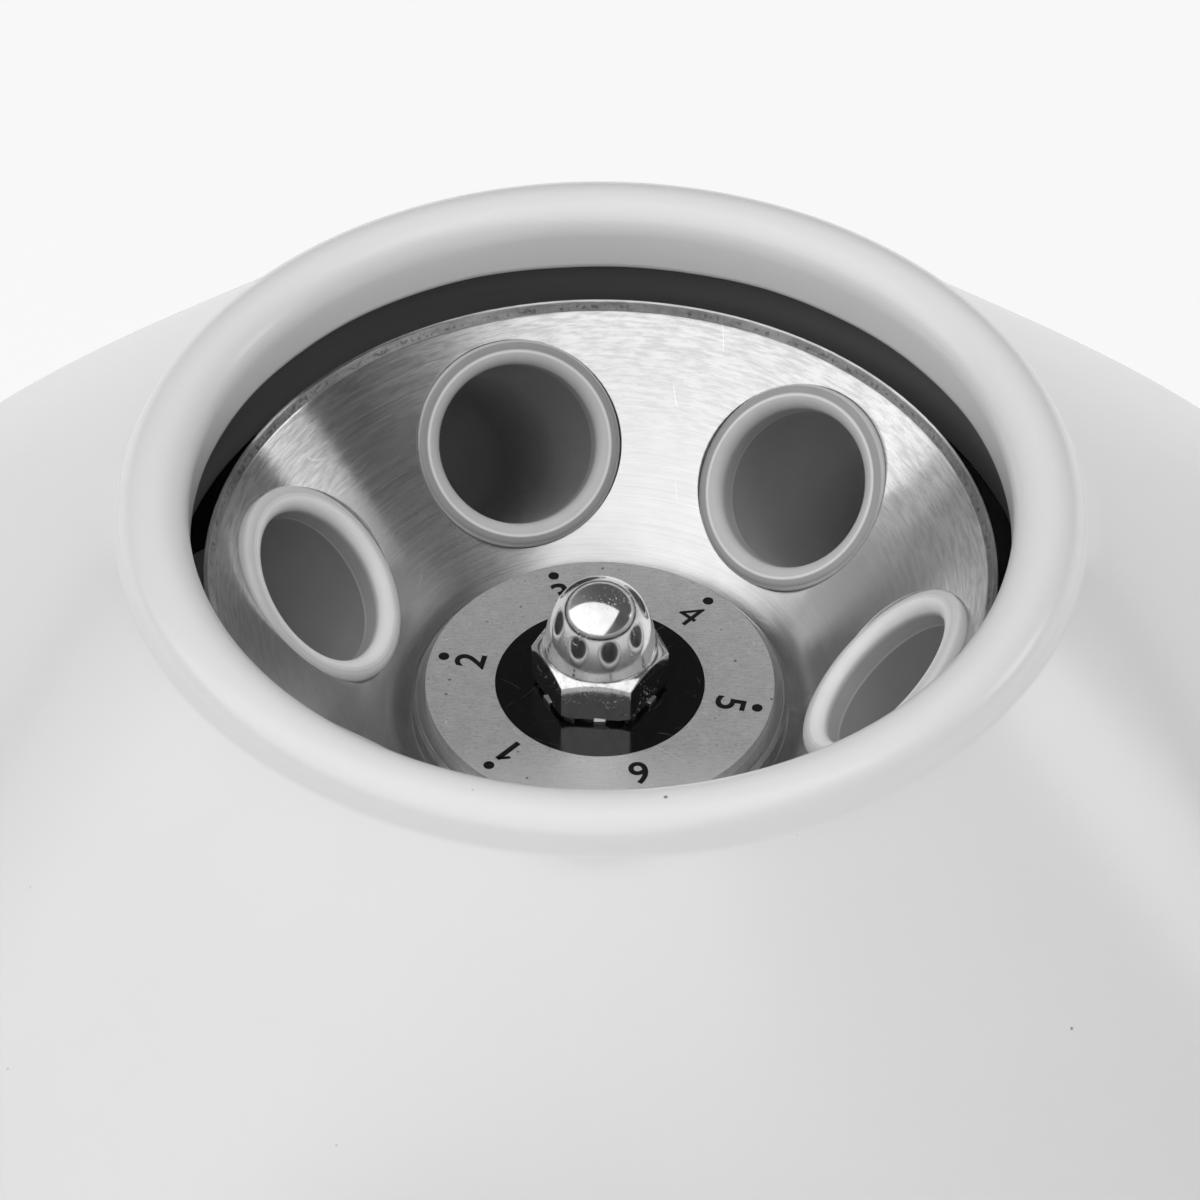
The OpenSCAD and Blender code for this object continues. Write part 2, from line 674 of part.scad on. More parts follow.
// Turned head: boss, concave cone with a stepped rim, six spot-faced holes
module rotor_head() {
    color("silver") difference() {
        rotate_extrude() polygon([
            [thread_d / 2 + seat_gap, boss_z], [boss_r - 0.6, boss_z], [boss_r, boss_z - 0.6],
            [boss_r, cone_z(boss_r)], [cone_edge_r, cone_edge_z],
            [cone_edge_r + 0.6 * rim_w, cone_edge_z + rim_step],
            [head_r - 0.15, cone_edge_z + rim_step], [head_r, cone_edge_z + rim_step - 0.15],
            [head_r, cone_z(head_r) - head_drop], [head_hub_r, cone_z(head_hub_r) - head_drop],
            [head_hub_r, head_hub_z], [thread_d / 2 + seat_gap, head_hub_z]]);
        for (k = [1:sleeve_count]) sleeve_frame(k) {
            translate([0, 0, -flange_t]) cylinder(r = flange_r + flange_gap, h = 2 * flange_r);
            translate([0, 0, -sleeve_body / 2]) cylinder(r = sleeve_or + move_gap, h = sleeve_body);
        }
    }
}

// Thin plate for the numbers, recessed for the centre washer
module number_disc() {
    color("lightgray") difference() {
        tube(disc_d / 2, thread_d / 2 + seat_gap, boss_z, disc_z);
        translate([0, 0, disc_z - washer_t]) cylinder(r = washer_d / 2 + seat_gap, h = 2);
    }
}

module centre_washer() {
    color("black") tube(washer_d / 2, thread_d / 2 + seat_gap, disc_z - washer_t, disc_z);
}

// Lock washer with outward teeth
module lock_washer() {
    teeth = 12;
    color("silver") difference() {
        translate([0, 0, disc_z]) linear_extrude(0.8) union() {
            circle(nut_af / 2 - 0.5);
            around(teeth, nut_af / 2 - 0.6) square([1.8, 1.7], center = true);
        }
        translate([0, 0, disc_z - 1]) cylinder(r = thread_d / 2 + seat_gap, h = 3);
    }
}

// Domed cap nut: chamfered hexagon, straight collar, round shoulder, then a lip round the crowned top
module cap_nut() {
    z = disc_z + 0.8;
    hex_r = nut_af / sqrt(3);
    collar_r = nut_af / 2 - 0.4;
    collar_h = nut_hex_h + 2.4;
    shoulder_r = collar_r * 0.78;
    lip_r = collar_r - shoulder_r * (1 - cos(49));
    lip_h = collar_h + shoulder_r * sin(49);
    crown_r = lip_r - 0.55;
    crown = nut_h - lip_h + 0.05;
    ball_r = (crown_r * crown_r + crown * crown) / (2 * crown);
    color("silver") difference() {
        union() {
            intersection() {
                translate([0, 0, z]) rotate(nut_turn) cylinder(r = hex_r, h = nut_hex_h, $fn = 6);
                translate([0, 0, z]) rotate_extrude() polygon([[0, 0], [hex_r - 0.7, 0], [hex_r + 0.8, 0.9],
                    [hex_r + 0.8, nut_hex_h - (hex_r + 0.6 - collar_r) * 0.7], [collar_r + 0.2, nut_hex_h],
                    [0, nut_hex_h]]);
            }
            translate([0, 0, z]) rotate_extrude() polygon(concat(
                [[0, nut_hex_h - 1], [collar_r, nut_hex_h - 1], [collar_r, collar_h]],
                arc([collar_r - shoulder_r, collar_h], shoulder_r, 7, 49, 6),
                [[lip_r - 0.1, lip_h + 0.2], [lip_r - 0.35, lip_h + 0.25]],
                arc([0, nut_h - ball_r], ball_r, acos(crown_r / ball_r), 90, 4)));
        }
        translate([0, 0, z - 1]) cylinder(r = thread_d / 2 + seat_gap, h = 11);
    }
}

// Moulded sleeve with a rolled flange, a bevelled mouth and a round end
module sleeve(k) {
    bore_r = sleeve_bore / 2;
    lip_r = 1.2;
    color("whitesmoke") sleeve_frame(k) difference() {
        union() {
            rotate_extrude() polygon(concat(
                [[0, -flange_t], [flange_r - 0.4, -flange_t], [flange_r, -flange_t + 0.4]],
                arc([flange_r - lip_r, -lip_r], lip_r, 0, 90, 6), [[0, 0]]));
            translate([0, 0, -sleeve_body]) cylinder(r = sleeve_or, h = sleeve_body - flange_t + eps);
            translate([0, 0, -sleeve_body]) sphere(sleeve_or);
        }
        translate([0, 0, -sleeve_body]) cylinder(r = bore_r, h = sleeve_body + 1);
        translate([0, 0, -sleeve_body]) sphere(bore_r);
        translate([0, 0, -1.2]) cylinder(r1 = bore_r, r2 = bore_r + 1.4, h = 1.2 + eps);
    }
}

// Controls

module control_panel() {
    corner = 5;
    color("gainsboro") difference() {
        on_front(0, panel_z) linear_extrude(panel_t) {
            square([panel_w, panel_h - 2 * corner], center = true);
            square([panel_w - 2 * corner, panel_h], center = true);
            for (s = corners)
                translate([s[0] * (panel_w / 2 - corner), s[1] * (panel_h / 2 - corner)]) circle(corner);
        }
        for (x = [-knob_at, knob_at])
            on_front(x, panel_z) translate([0, 0, -1]) cylinder(r = bush_r + 0.2, h = panel_t + 2);
        on_front(0, lamp_z) translate([0, 0, -1]) cylinder(r = 4.2, h = panel_t + 2);
        on_front(0, rocker_z) cube([17.4, 25.4, 2 * panel_t + 2], center = true);
        for (s = corners)
            on_front(s[0] * (panel_w / 2 - 6), panel_z + s[1] * (panel_h / 2 - 6))
                translate([0, 0, -1]) cylinder(r = 1.7, h = panel_t + 2);
    }
}

module panel_screws() {
    color("silver") for (s = corners)
        on_front(s[0] * (panel_w / 2 - 6), panel_z + s[1] * (panel_h / 2 - 6))
            translate([0, 0, panel_t]) pan_screw(1.5, panel_t);
}

// Threaded bush through tray and panel, with its nut, in the frame of the front face
module dial_bush() {
    translate([0, 0, -shell_t - eps]) cylinder(r = bush_r, h = shell_t + panel_t + 3.4);
    translate([0, 0, panel_t]) cylinder(r = 7, h = 2, $fn = 6);
}

// Clockwork timer behind the panel
module timer_body() {
    color("tan") on_front(-knob_at, panel_z) difference() {
        union() {
            translate([0, 0, -shell_t - 13]) cube([42, 42, 26], center = true);
            dial_bush();
        }
        translate([0, 0, -shell_t - 20]) cylinder(r = dial_shaft_r + run_gap, h = 60);
    }
}

// Rotary speed control behind the panel
module speed_control() {
    color("darkolivegreen") on_front(knob_at, panel_z) difference() {
        union() {
            translate([0, 0, -shell_t - 11]) cylinder(r = 13, h = 11);
            translate([-8, -20, -shell_t - 7]) cube([16, 12, 2]);
            dial_bush();
        }
        translate([0, 0, -shell_t - 8]) cylinder(r = dial_shaft_r + run_gap, h = 60);
    }
}

// Shaft from depth d behind the tray's wall into the knob
module dial_shaft(x, d) {
    color("silver") on_front(x, panel_z)
        translate([0, 0, -shell_t - d]) cylinder(r = dial_shaft_r, h = shell_t + d + panel_t + 14);
}

module timer_shaft() {
    dial_shaft(-knob_at, 19);
}

module speed_shaft() {
    dial_shaft(knob_at, 7);
}

// Skirted knob with a fluted grip and a pointer groove, turned by a from the upright
module dial_knob(x, a) {
    flutes = 18;
    grip_r = knob_r - 4;
    skirt_h = 4;
    lift = panel_t + knob_gap;
    color("#202020") on_front(x, panel_z) difference() {
        translate([0, 0, lift]) rotate_extrude() polygon([[0, 0], [knob_r, 0], [knob_r, skirt_h - 1.2],
            [knob_r - 1.2, skirt_h], [grip_r + 0.5, skirt_h + 0.6], [grip_r - 0.6, knob_h - 1.5],
            [grip_r - 2.1, knob_h], [0, knob_h]]);
        around(flutes, grip_r + 1, 10) translate([0, 0, lift + skirt_h + 1]) cylinder(r = 1.6, h = knob_h, $fn = 24);
        rotate(a) translate([-0.6, 4, lift + knob_h - 0.8]) cube([1.2, grip_r, 3]);
        // Room for the bush's nut, and the shaft's hole
        translate([0, 0, lift - 1]) cylinder(r = 7 + 2 * move_gap, h = 4.5);
        translate([0, 0, lift - 1]) cylinder(r = dial_shaft_r + seat_gap, h = 14);
    }
}

module timer_knob() {
    dial_knob(-knob_at, 0);
}

module speed_knob() {
    dial_knob(knob_at, 135);
}

// Frame of the rocker switch, open to the front, with holes for the rocker's pins
module switch_frame() {
    color("#202020") difference() {
        union() {
            on_front(0, rocker_z) translate([-10.5, -14.5, panel_t]) cube([21, 29, 1.6]);
            on_front(0, rocker_z) translate([-8.5, -12.5, -14]) cube([17, 25, 14 + panel_t + eps]);
            for (x = [-4, 4])
                on_front(x, rocker_z - 4) translate([-0.4, -3, -22]) cube([0.8, 6, 9]);
        }
        on_front(0, rocker_z) translate([-6.5, -10.4, -11]) cube([13, 20.8, 20]);
        translate([-7.8, rocker_pivot_y, rocker_z]) rotate([0, 90, 0]) cylinder(r = 1.5 + run_gap, h = 15.6);
    }
}

// Rocker with two pressing faces, at rest with its lower half pressed in
module switch_rocker() {
    color("#202020") translate([0, rocker_pivot_y, rocker_z]) rotate([rocker_tilt, 0, 0]) {
        rotate([0, -90, 0]) translate([0, 0, -6.1]) linear_extrude(12.2)
            polygon([[-6, 2], [-8.6, -4.5], [-8.6, -7.5], [0, -5], [8.6, -7.5], [8.6, -4.5], [6, 2]]);
        translate([-7.4, 0, 0]) rotate([0, 90, 0]) cylinder(r = 1.5, h = 14.8, $fn = 32);
    }
}

module indicator_lamp() {
    color("red") on_front(0, lamp_z) {
        translate([0, 0, -10]) cylinder(r = 4, h = 10 + panel_t + eps);
        translate([0, 0, panel_t]) rotate_extrude() polygon(concat([[0, 0], [5.2, 0], [5.2, 1.2]],
            arc([0, -0.6], 4.5, 24, 90, 6)));
    }
}

// Electronics on the base plate and the cable's way in

module control_board() {
    color("darkgreen") translate([-40, board_y, base_top + 8]) difference() {
        cube([80, 46, 1.6]);
        for (x = [5, 75], y = [5, 41]) translate([x, y, -1]) cylinder(r = 1.7, h = 4);
    }
}

module board_standoffs() {
    color("white") for (x = [-35, 35], y = [5, 41]) translate([x, board_y + y, base_top]) {
        cylinder(r = 3.5, h = 8, $fn = 6);
        cylinder(r = 1.6, h = 11);
    }
}

// Capacitor, finned heat sink and terminal block
module board_parts() {
    z = base_top + 9.6;
    color("dimgray") {
        translate([-22, board_y + 28, z]) cylinder(r = 8, h = 24);
        translate([2, board_y + 12, z]) cube([3, 28, 22]);
        for (i = [0:6])
            translate([2, board_y + 12 + i * 4.4, z]) cube([13, 1.6, 22]);
        translate([20, board_y + 18, z]) cube([10, 20, 10]);
    }
}

// Rubber gland at the rear
module cable_gland() {
    color("#181818") translate([gland_at[0], half_w, gland_at[1]]) rotate([-90, 0, 0]) rotate_extrude()
        polygon([[gland_bore_r, -shell_t - 5], [9, -shell_t - 5], [9, -shell_t], [7, -shell_t], [7, 0], [10, 0],
            [10, 2], [7.4, 5], [gland_bore_r + 0.6, 5], [gland_bore_r, 4.4]]);
}

hood();
tray();
base_plate();
for (i = [0:3])
    foot(i);
foot_nuts();
base_screws();
pillars();
deck_plate();
deck_screws();
chamber_bowl();
bowl_seal();
neck_seal();
upper_bracket();
lower_bracket();
stator_core();
field_coils();
bearing_race(upper_bearing, upper_bearing_z);  // upper_bearing_race
bearing_race(lower_bearing, lower_bearing_z);  // lower_bearing_race
brush_holders();
carbon_brushes();
motor_bolts();
dampers();
damper_bolts();
motor_shaft();
armature_core();
armature_winding();
commutator();
cooling_fan();
bearing_core(upper_bearing, upper_bearing_z);  // upper_bearing_core
bearing_core(lower_bearing, lower_bearing_z);  // lower_bearing_core
rotor_hub();
rotor_head();
number_disc();
centre_washer();
lock_washer();
cap_nut();
for (k = [1:sleeve_count])
    sleeve(k);
control_panel();
panel_screws();
timer_body();
timer_shaft();
timer_knob();
speed_control();
speed_shaft();
speed_knob();
switch_frame();
switch_rocker();
indicator_lamp();
control_board();
board_parts();
board_standoffs();
cable_gland();
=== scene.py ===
import math
import bpy
from mathutils import Matrix, Vector


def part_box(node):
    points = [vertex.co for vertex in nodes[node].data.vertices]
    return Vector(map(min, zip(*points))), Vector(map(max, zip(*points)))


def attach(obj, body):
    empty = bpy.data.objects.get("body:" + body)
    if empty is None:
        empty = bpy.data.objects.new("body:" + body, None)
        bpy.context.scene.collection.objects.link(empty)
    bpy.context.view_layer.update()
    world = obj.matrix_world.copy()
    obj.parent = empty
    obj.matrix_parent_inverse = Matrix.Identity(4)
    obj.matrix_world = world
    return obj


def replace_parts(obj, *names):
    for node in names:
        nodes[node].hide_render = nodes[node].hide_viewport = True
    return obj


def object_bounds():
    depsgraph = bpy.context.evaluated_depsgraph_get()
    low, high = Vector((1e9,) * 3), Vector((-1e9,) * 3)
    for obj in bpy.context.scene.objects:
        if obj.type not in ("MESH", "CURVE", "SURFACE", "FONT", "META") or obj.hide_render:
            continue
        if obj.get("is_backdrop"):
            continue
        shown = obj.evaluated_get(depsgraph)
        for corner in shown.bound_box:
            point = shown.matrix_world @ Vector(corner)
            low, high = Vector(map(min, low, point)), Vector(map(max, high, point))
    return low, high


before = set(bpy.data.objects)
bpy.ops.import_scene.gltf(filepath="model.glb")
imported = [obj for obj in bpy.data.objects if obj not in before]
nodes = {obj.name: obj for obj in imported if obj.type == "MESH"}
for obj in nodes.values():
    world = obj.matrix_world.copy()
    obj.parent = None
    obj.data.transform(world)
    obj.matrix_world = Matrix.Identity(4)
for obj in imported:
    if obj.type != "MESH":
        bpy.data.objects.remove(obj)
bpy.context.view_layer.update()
scene = bpy.context.scene
scene.view_settings.view_transform = "Standard"

MM = 0.001
DISC_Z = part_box("number_disc")[1].z
HEAD_ANGLE = math.radians(46)
HEAD_TURN = 107.3
SLEEVE_RING_R = 40.2 * MM
SLEEVE_RISE = 11.1 * MM


def sleeve_angle(k):
    """Angle of sleeve k and of number k about the spindle."""
    return math.radians(HEAD_TURN - (k - 3) * 60)


def sleeve_seat(k):
    """Frame of sleeve k: the middle of its mouth, +Z along its bore, outwards."""
    turn = Matrix.Rotation(sleeve_angle(k), 4, "Z")
    mouth = Matrix.Translation((SLEEVE_RING_R, 0, DISC_Z + SLEEVE_RISE))
    return turn @ mouth @ Matrix.Rotation(-HEAD_ANGLE, 4, "Y")


# Materials


class Shader:
    """One material's node tree, with short calls for the nodes it uses."""

    def __init__(self, name):
        self.material = bpy.data.materials.new(name)
        self.material.use_nodes = True
        self.tree = self.material.node_tree
        self.bsdf = self.tree.nodes["Principled BSDF"]
        self.place = self.node("TexCoord").outputs["Object"]

    def node(self, kind, inputs=None, **settings):
        made = self.tree.nodes.new("ShaderNode" + kind)
        for key, value in settings.items():
            setattr(made, key, value)
        for key, value in (inputs or {}).items():
            self.feed(made.inputs[key], value)
        return made

    def feed(self, socket, value):
        if isinstance(value, bpy.types.NodeSocket):
            self.tree.links.new(value, socket)
        else:
            socket.default_value = value

    def set(self, **values):
        """Feeds the shader's own sockets; an underscore stands for a space."""
        for key, value in values.items():
            self.feed(self.bsdf.inputs[key.replace("_", " ")], value)

    def math(self, operation, a, b=0.0):
        made = self.node("Math", operation=operation)
        for socket, value in zip(made.inputs, (a, b)):
            self.feed(socket, value)
        return made.outputs[0]

    def noise(self, scale, detail=3.0, vector=None, rough=0.55, distort=0.0):
        return self.node("TexNoise", {"Vector": vector or self.place, "Scale": scale, "Detail": detail,
                                      "Roughness": rough, "Distortion": distort}).outputs[0]

    def voronoi(self, scale, vector=None, feature="F1"):
        return self.node("TexVoronoi", {"Vector": vector or self.place, "Scale": scale},
                         feature=feature).outputs["Distance"]

    def remap(self, value, low, high, to_low=0.0, to_high=1.0):
        return self.node("MapRange", {"Value": value, "From Min": low, "From Max": high,
                                      "To Min": to_low, "To Max": to_high}).outputs[0]

    def mix(self, factor, a, b, blend="MIX"):
        made = self.node("Mix", data_type="RGBA", blend_type=blend)
        for index, value in ((0, factor), (6, a), (7, b)):
            self.feed(made.inputs[index], value)
        return made.outputs[2]

    def bump(self, height, strength, distance, normal=None):
        inputs = {"Height": height, "Strength": strength, "Distance": distance}
        if normal:
            inputs["Normal"] = normal
        return self.node("Bump", inputs).outputs[0]

    def length(self, a, b):
        return self.math("SQRT", self.math("ADD", self.math("MULTIPLY", a, a), self.math("MULTIPLY", b, b)))

    def near(self, value, middle, full, none):
        """1 within a distance of the middle, falling to 0 at a larger one."""
        off = self.math("ABSOLUTE", self.math("SUBTRACT", value, middle))
        return self.remap(off, full, none, 1.0, 0.0)

    def axes(self, vector=None):
        """The place, or another vector, as X, Y and Z."""
        return self.node("SeparateXYZ", {"Vector": vector or self.place}).outputs

    def combine(self, x, y, z):
        return self.node("CombineXYZ", {"X": x, "Y": y, "Z": z}).outputs[0]

    def stretched(self, x, y, z):
        """The place with its axes scaled, for grain that runs one way."""
        return self.node("VectorMath", {0: self.place, 1: (x, y, z)}, operation="MULTIPLY").outputs[0]

    def rings(self, across, around):
        """Coordinates that change quickly with the radius and slowly round the spindle, and the radius."""
        x, y, _ = self.axes()
        radius = self.length(x, y)
        safe = self.math("MAXIMUM", radius, 1e-5)
        return self.combine(self.math("MULTIPLY", radius, across),
                            self.math("MULTIPLY", self.math("DIVIDE", x, safe), around),
                            self.math("MULTIPLY", self.math("DIVIDE", y, safe), around)), radius

    def scratches(self, angle, pitch, length, width, share):
        """Short straight scratches across X and Y, running at an angle."""
        turned = self.node("VectorRotate", {"Vector": self.place, "Angle": math.radians(angle)},
                           rotation_type="Z_AXIS").outputs[0]
        flat = self.node("VectorMath", {0: turned, 1: (1 / length, 1 / pitch, 0.2 / length)},
                         operation="MULTIPLY").outputs[0]
        ridge = self.math("ABSOLUTE", self.math("SUBTRACT", self.noise(1, 0, flat), 0.5))
        return self.math("MULTIPLY", self.remap(ridge, 0.0, width, 1.0, 0.0),
                         self.remap(self.noise(1.7, 1, flat), share, share + 0.03))

    def edges(self, radius, low=0.03, high=0.3):
        """1 along edges, 0 on flat faces, and the rounded normal."""
        rounded = self.node("Bevel", {"Radius": radius}, samples=6).outputs[0]
        flat = self.node("NewGeometry").outputs["Normal"]
        match = self.node("VectorMath", {0: rounded, 1: flat}, operation="DOT_PRODUCT").outputs["Value"]
        return self.remap(self.math("SUBTRACT", 1.0, match), low, high), rounded


def grey(value):
    return (value, value, value, 1)


def scaled(colour, factor):
    return (colour[0] * factor, colour[1] * factor, colour[2] * factor, 1)


def moulded(name, colour, rough, coat=0.0, specks=False, grain=700, relief=0.02):
    """Moulded plastic: slight clouding, fine grain and, on the case, small specks of dirt."""
    s = Shader(name)
    cloud = s.remap(s.noise(9, 4), 0.3, 0.7)
    tone = s.mix(cloud, scaled(colour, 0.975), scaled(colour, 1.02))
    if specks:
        dots = s.remap(s.voronoi(70), 0.016, 0.024, 1.0, 0.0)
        some = s.remap(s.noise(31, 1), 0.60, 0.63)
        tone = s.mix(s.math("MULTIPLY", dots, some), tone, scaled(colour, 0.3))
        fine = s.remap(s.voronoi(210), 0.03, 0.05, 1.0, 0.0)
        few = s.remap(s.noise(47, 1), 0.62, 0.66)
        tone = s.mix(s.math("MULTIPLY", s.math("MULTIPLY", fine, few), 0.5), tone, scaled(colour, 0.45))
    worn = s.noise(400, 3)
    s.set(Base_Color=tone, Roughness=s.remap(worn, 0.25, 0.75, rough - 0.03, rough + 0.03))
    if coat:
        s.set(Coat_Weight=coat, Coat_Roughness=0.22)
    s.set(Normal=s.bump(s.noise(grain, 2), relief, 0.05 * MM))
    return s.material


def rubber(name, value):
    """Dull black rubber or carbon, dusty in places."""
    s = Shader(name)
    dust = s.remap(s.noise(80, 5), 0.45, 0.75)
    s.set(Base_Color=s.mix(dust, grey(value), grey(value * 2.1)),
          Roughness=s.remap(s.noise(300, 3), 0.3, 0.7, 0.62, 0.8),
          Normal=s.bump(s.noise(1500, 3), 0.15, 0.05 * MM))
    return s.material


def plated(name, colour, rough):
    """Plated or rolled steel: blotchy finish, fine scratches, brighter edges."""
    s = Shader(name)
    rim, rounded = s.edges(0.25 * MM)
    blotch = s.remap(s.noise(120, 5), 0.3, 0.7)
    tone = s.mix(blotch, scaled(colour, 0.82), colour)
    tone = s.mix(s.math("MULTIPLY", rim, 0.7), tone, scaled(colour, 1.15))
    lines = s.noise(1, 3, s.stretched(400, 4000, 900))
    s.set(Base_Color=tone, Metallic=1.0, Roughness=s.remap(lines, 0.3, 0.7, rough - 0.06, rough + 0.1),
          Normal=s.bump(lines, 0.08, 0.02 * MM, rounded))
    return s.material


def turned(name, colour, rough):
    """Turned metal: rings round the spindle, brighter edges."""
    s = Shader(name)
    rings, _ = s.rings(4000, 0.6)
    rim, rounded = s.edges(0.25 * MM)
    lines = s.noise(1, 3, rings)
    s.set(Base_Color=s.mix(s.math("MULTIPLY", rim, 0.6), s.mix(lines, scaled(colour, 0.8), colour),
                           scaled(colour, 1.2)),
          Metallic=1.0, Roughness=s.remap(lines, 0.3, 0.7, rough - 0.05, rough + 0.1),
          Normal=s.bump(lines, 0.12, 0.02 * MM, rounded))
    return s.material


def cast(name, colour):
    """Die-cast aluminium with a fine pebbled skin."""
    s = Shader(name)
    rim, rounded = s.edges(0.5 * MM)
    skin = s.noise(900, 4)
    s.set(Base_Color=s.mix(s.math("MULTIPLY", rim, 0.6),
                           s.mix(s.remap(s.noise(60, 4), 0.3, 0.7), scaled(colour, 0.85), colour),
                           scaled(colour, 1.2)),
          Metallic=0.9, Roughness=s.remap(skin, 0.3, 0.7, 0.42, 0.6),
          Normal=s.bump(skin, 0.3, 0.08 * MM, rounded))
    return s.material


def laminated(name, colour):
    """Stacked steel sheets: even lines up the height."""
    s = Shader(name)
    sheet = 0.7 * MM
    line = s.math("SINE", s.math("MULTIPLY", s.axes()[2], 2 * math.pi / sheet))
    rust = s.remap(s.noise(150, 5), 0.55, 0.8)
    steel = s.mix(s.remap(line, -1.0, 1.0), scaled(colour, 0.6), colour)
    s.set(Base_Color=s.mix(rust, steel, (0.16, 0.09, 0.05, 1)), Metallic=0.8,
          Roughness=s.remap(s.noise(400, 3), 0.3, 0.7, 0.4, 0.6), Normal=s.bump(line, 0.4, 0.08 * MM))
    return s.material


def wound(name, colour):
    """Enamelled copper wire laid side by side."""
    s = Shader(name)
    wire_pitch = 0.9 * MM
    flow = s.math("ADD", s.axes()[2], s.math("MULTIPLY", s.noise(90, 2), 1.2 * MM))
    wire = s.math("SINE", s.math("MULTIPLY", flow, 2 * math.pi / wire_pitch))
    s.set(Base_Color=s.mix(s.remap(wire, -1.0, 0.6), scaled(colour, 0.3), colour), Metallic=0.85,
          Roughness=s.remap(s.noise(250, 3), 0.3, 0.7, 0.25, 0.4), Normal=s.bump(wire, 0.6, 0.25 * MM),
          Coat_Weight=0.4, Coat_Roughness=0.15)
    return s.material


# Height over which the bowl is painted paler lower down, as painted light where it lies in shade
BOWL_LOW_Z, BOWL_HIGH_Z = DISC_Z + 8 * MM, DISC_Z + 26 * MM


def enamel(name, colour, rough, edge_colour, wear=0.6, below=None):
    """Painted metal: orange peel, paint rubbed off the edges, and in the bowl a paler tone lower down as
    painted light where it lies in shade.
    """
    s = Shader(name)
    rim, rounded = s.edges(0.4 * MM)
    rubbed = s.math("MULTIPLY", rim, s.remap(s.noise(500, 4), 0.45, 0.6))
    rubbed = s.math("MULTIPLY", rubbed, wear)
    paint = s.mix(s.remap(s.noise(25, 4), 0.3, 0.7), scaled(colour, 0.9), scaled(colour, 1.08))
    # Painted light: paler lower down in the bowl, where it lies in shade
    if below:
        paint = s.mix(s.remap(s.axes()[2], BOWL_LOW_Z, BOWL_HIGH_Z, 1.0, 0.0), paint, below)
    s.set(Base_Color=s.mix(rubbed, paint, edge_colour),
          Metallic=s.math("MULTIPLY", rubbed, 0.8),
          Roughness=s.remap(s.noise(220, 4), 0.3, 0.7, rough - 0.06, rough + 0.08),
          Normal=s.bump(s.noise(700, 2), 0.08, 0.05 * MM, rounded))
    return s.material


# Where the rotor head's rim begins to turn over, where a painted shadow line runs along its step, and where
# its flat top, painted dark as a dark reflection, begins
RIM_TURN_R, RIM_SHADE_LINE_R, RIM_TOP_R = 54.4 * MM, 54.75 * MM, 55.1 * MM
# Where the polishing strokes on its cone, with painted dark reflection on them, begin to show, and where
# they show most
DARK_STROKES_FROM_R, DARK_STROKES_TO_R = 38 * MM, 54 * MM


def head_metal():
    """Turned aluminium of the rotor head: lathe rings, polishing strokes, stray scratches, a nicked rim,
    with painted dark reflection on the strokes and on the rim's top, and a painted shadow line in the rim's
    step.
    """
    s = Shader("head_aluminium")
    rings, radius = s.rings(6500, 0.7)
    fine = s.noise(1, 4, rings, 0.65)
    polish = s.noise(1, 2, s.rings(1300, 8)[0], 0.5, 0.4)
    rim, rounded = s.edges(0.2 * MM, 0.02, 0.2)
    smear = s.remap(s.noise(34, 4, distort=0.6), 0.4, 0.7)
    tone = s.mix(s.remap(fine, 0.3, 0.7), grey(0.72), grey(0.84))
    tone = s.mix(s.math("MULTIPLY", smear, 0.2), tone, grey(0.55))
    scratch = s.math("MAXIMUM", s.scratches(72, 5 * MM, 22 * MM, 0.006, 0.62),
                     s.scratches(118, 4 * MM, 16 * MM, 0.006, 0.64))
    nicks = s.math("MULTIPLY", rim, s.remap(s.noise(900, 3), 0.45, 0.62))
    tone = s.mix(s.math("MAXIMUM", scratch, s.math("MULTIPLY", nicks, 0.8)), tone, grey(0.96))
    height = s.math("ADD", s.math("MULTIPLY", fine, 0.4), s.math("MULTIPLY", polish, 1.2))
    # Real polishing strokes, with painted dark reflection on them that darkens the cone towards the rim
    worn = s.math("MULTIPLY", s.remap(radius, DARK_STROKES_FROM_R, DARK_STROKES_TO_R, 0.0, 0.5),
                  s.remap(s.noise(1, 3, s.rings(2600, 16)[0], 0.6), 0.42, 0.62))
    tone = s.mix(worn, tone, grey(0.42))
    # The rim's top is painted dark as a painted dark reflection; its edge is broken towards the cone, and a
    # painted shadow line, broken up by noise, runs along the step
    tone = s.mix(s.remap(radius, RIM_TOP_R, RIM_TOP_R + 0.15 * MM, 0.0, 0.25), tone, grey(0.12))
    step_shade = s.math("MULTIPLY", s.near(radius, RIM_SHADE_LINE_R, 0.1 * MM, 0.35 * MM),
                    s.remap(s.noise(1500, 2), 0.54, 0.62))
    tone = s.mix(s.math("MULTIPLY", step_shade, 0.7), tone, grey(0.2))
    chamfer = s.math("MAXIMUM", s.math("SUBTRACT", radius, RIM_TURN_R), 0.0)
    s.set(Base_Color=tone, Metallic=1.0,
          Roughness=s.remap(s.math("ADD", fine, polish), 0.7, 1.3, 0.19, 0.255),
          Anisotropic=0.9, Anisotropic_Rotation=0.25,
          Normal=s.bump(height, 0.22, 0.04 * MM, s.bump(chamfer, 1.0, 1.0, rounded)),
          Tangent=s.node("Tangent", direction_type="RADIAL", axis="Z").outputs[0])
    return s.material


# Front part of the number disc with a painted highlight, paler towards the front
SHEEN_FULL_Y, SHEEN_NONE_Y = -24 * MM, -13 * MM


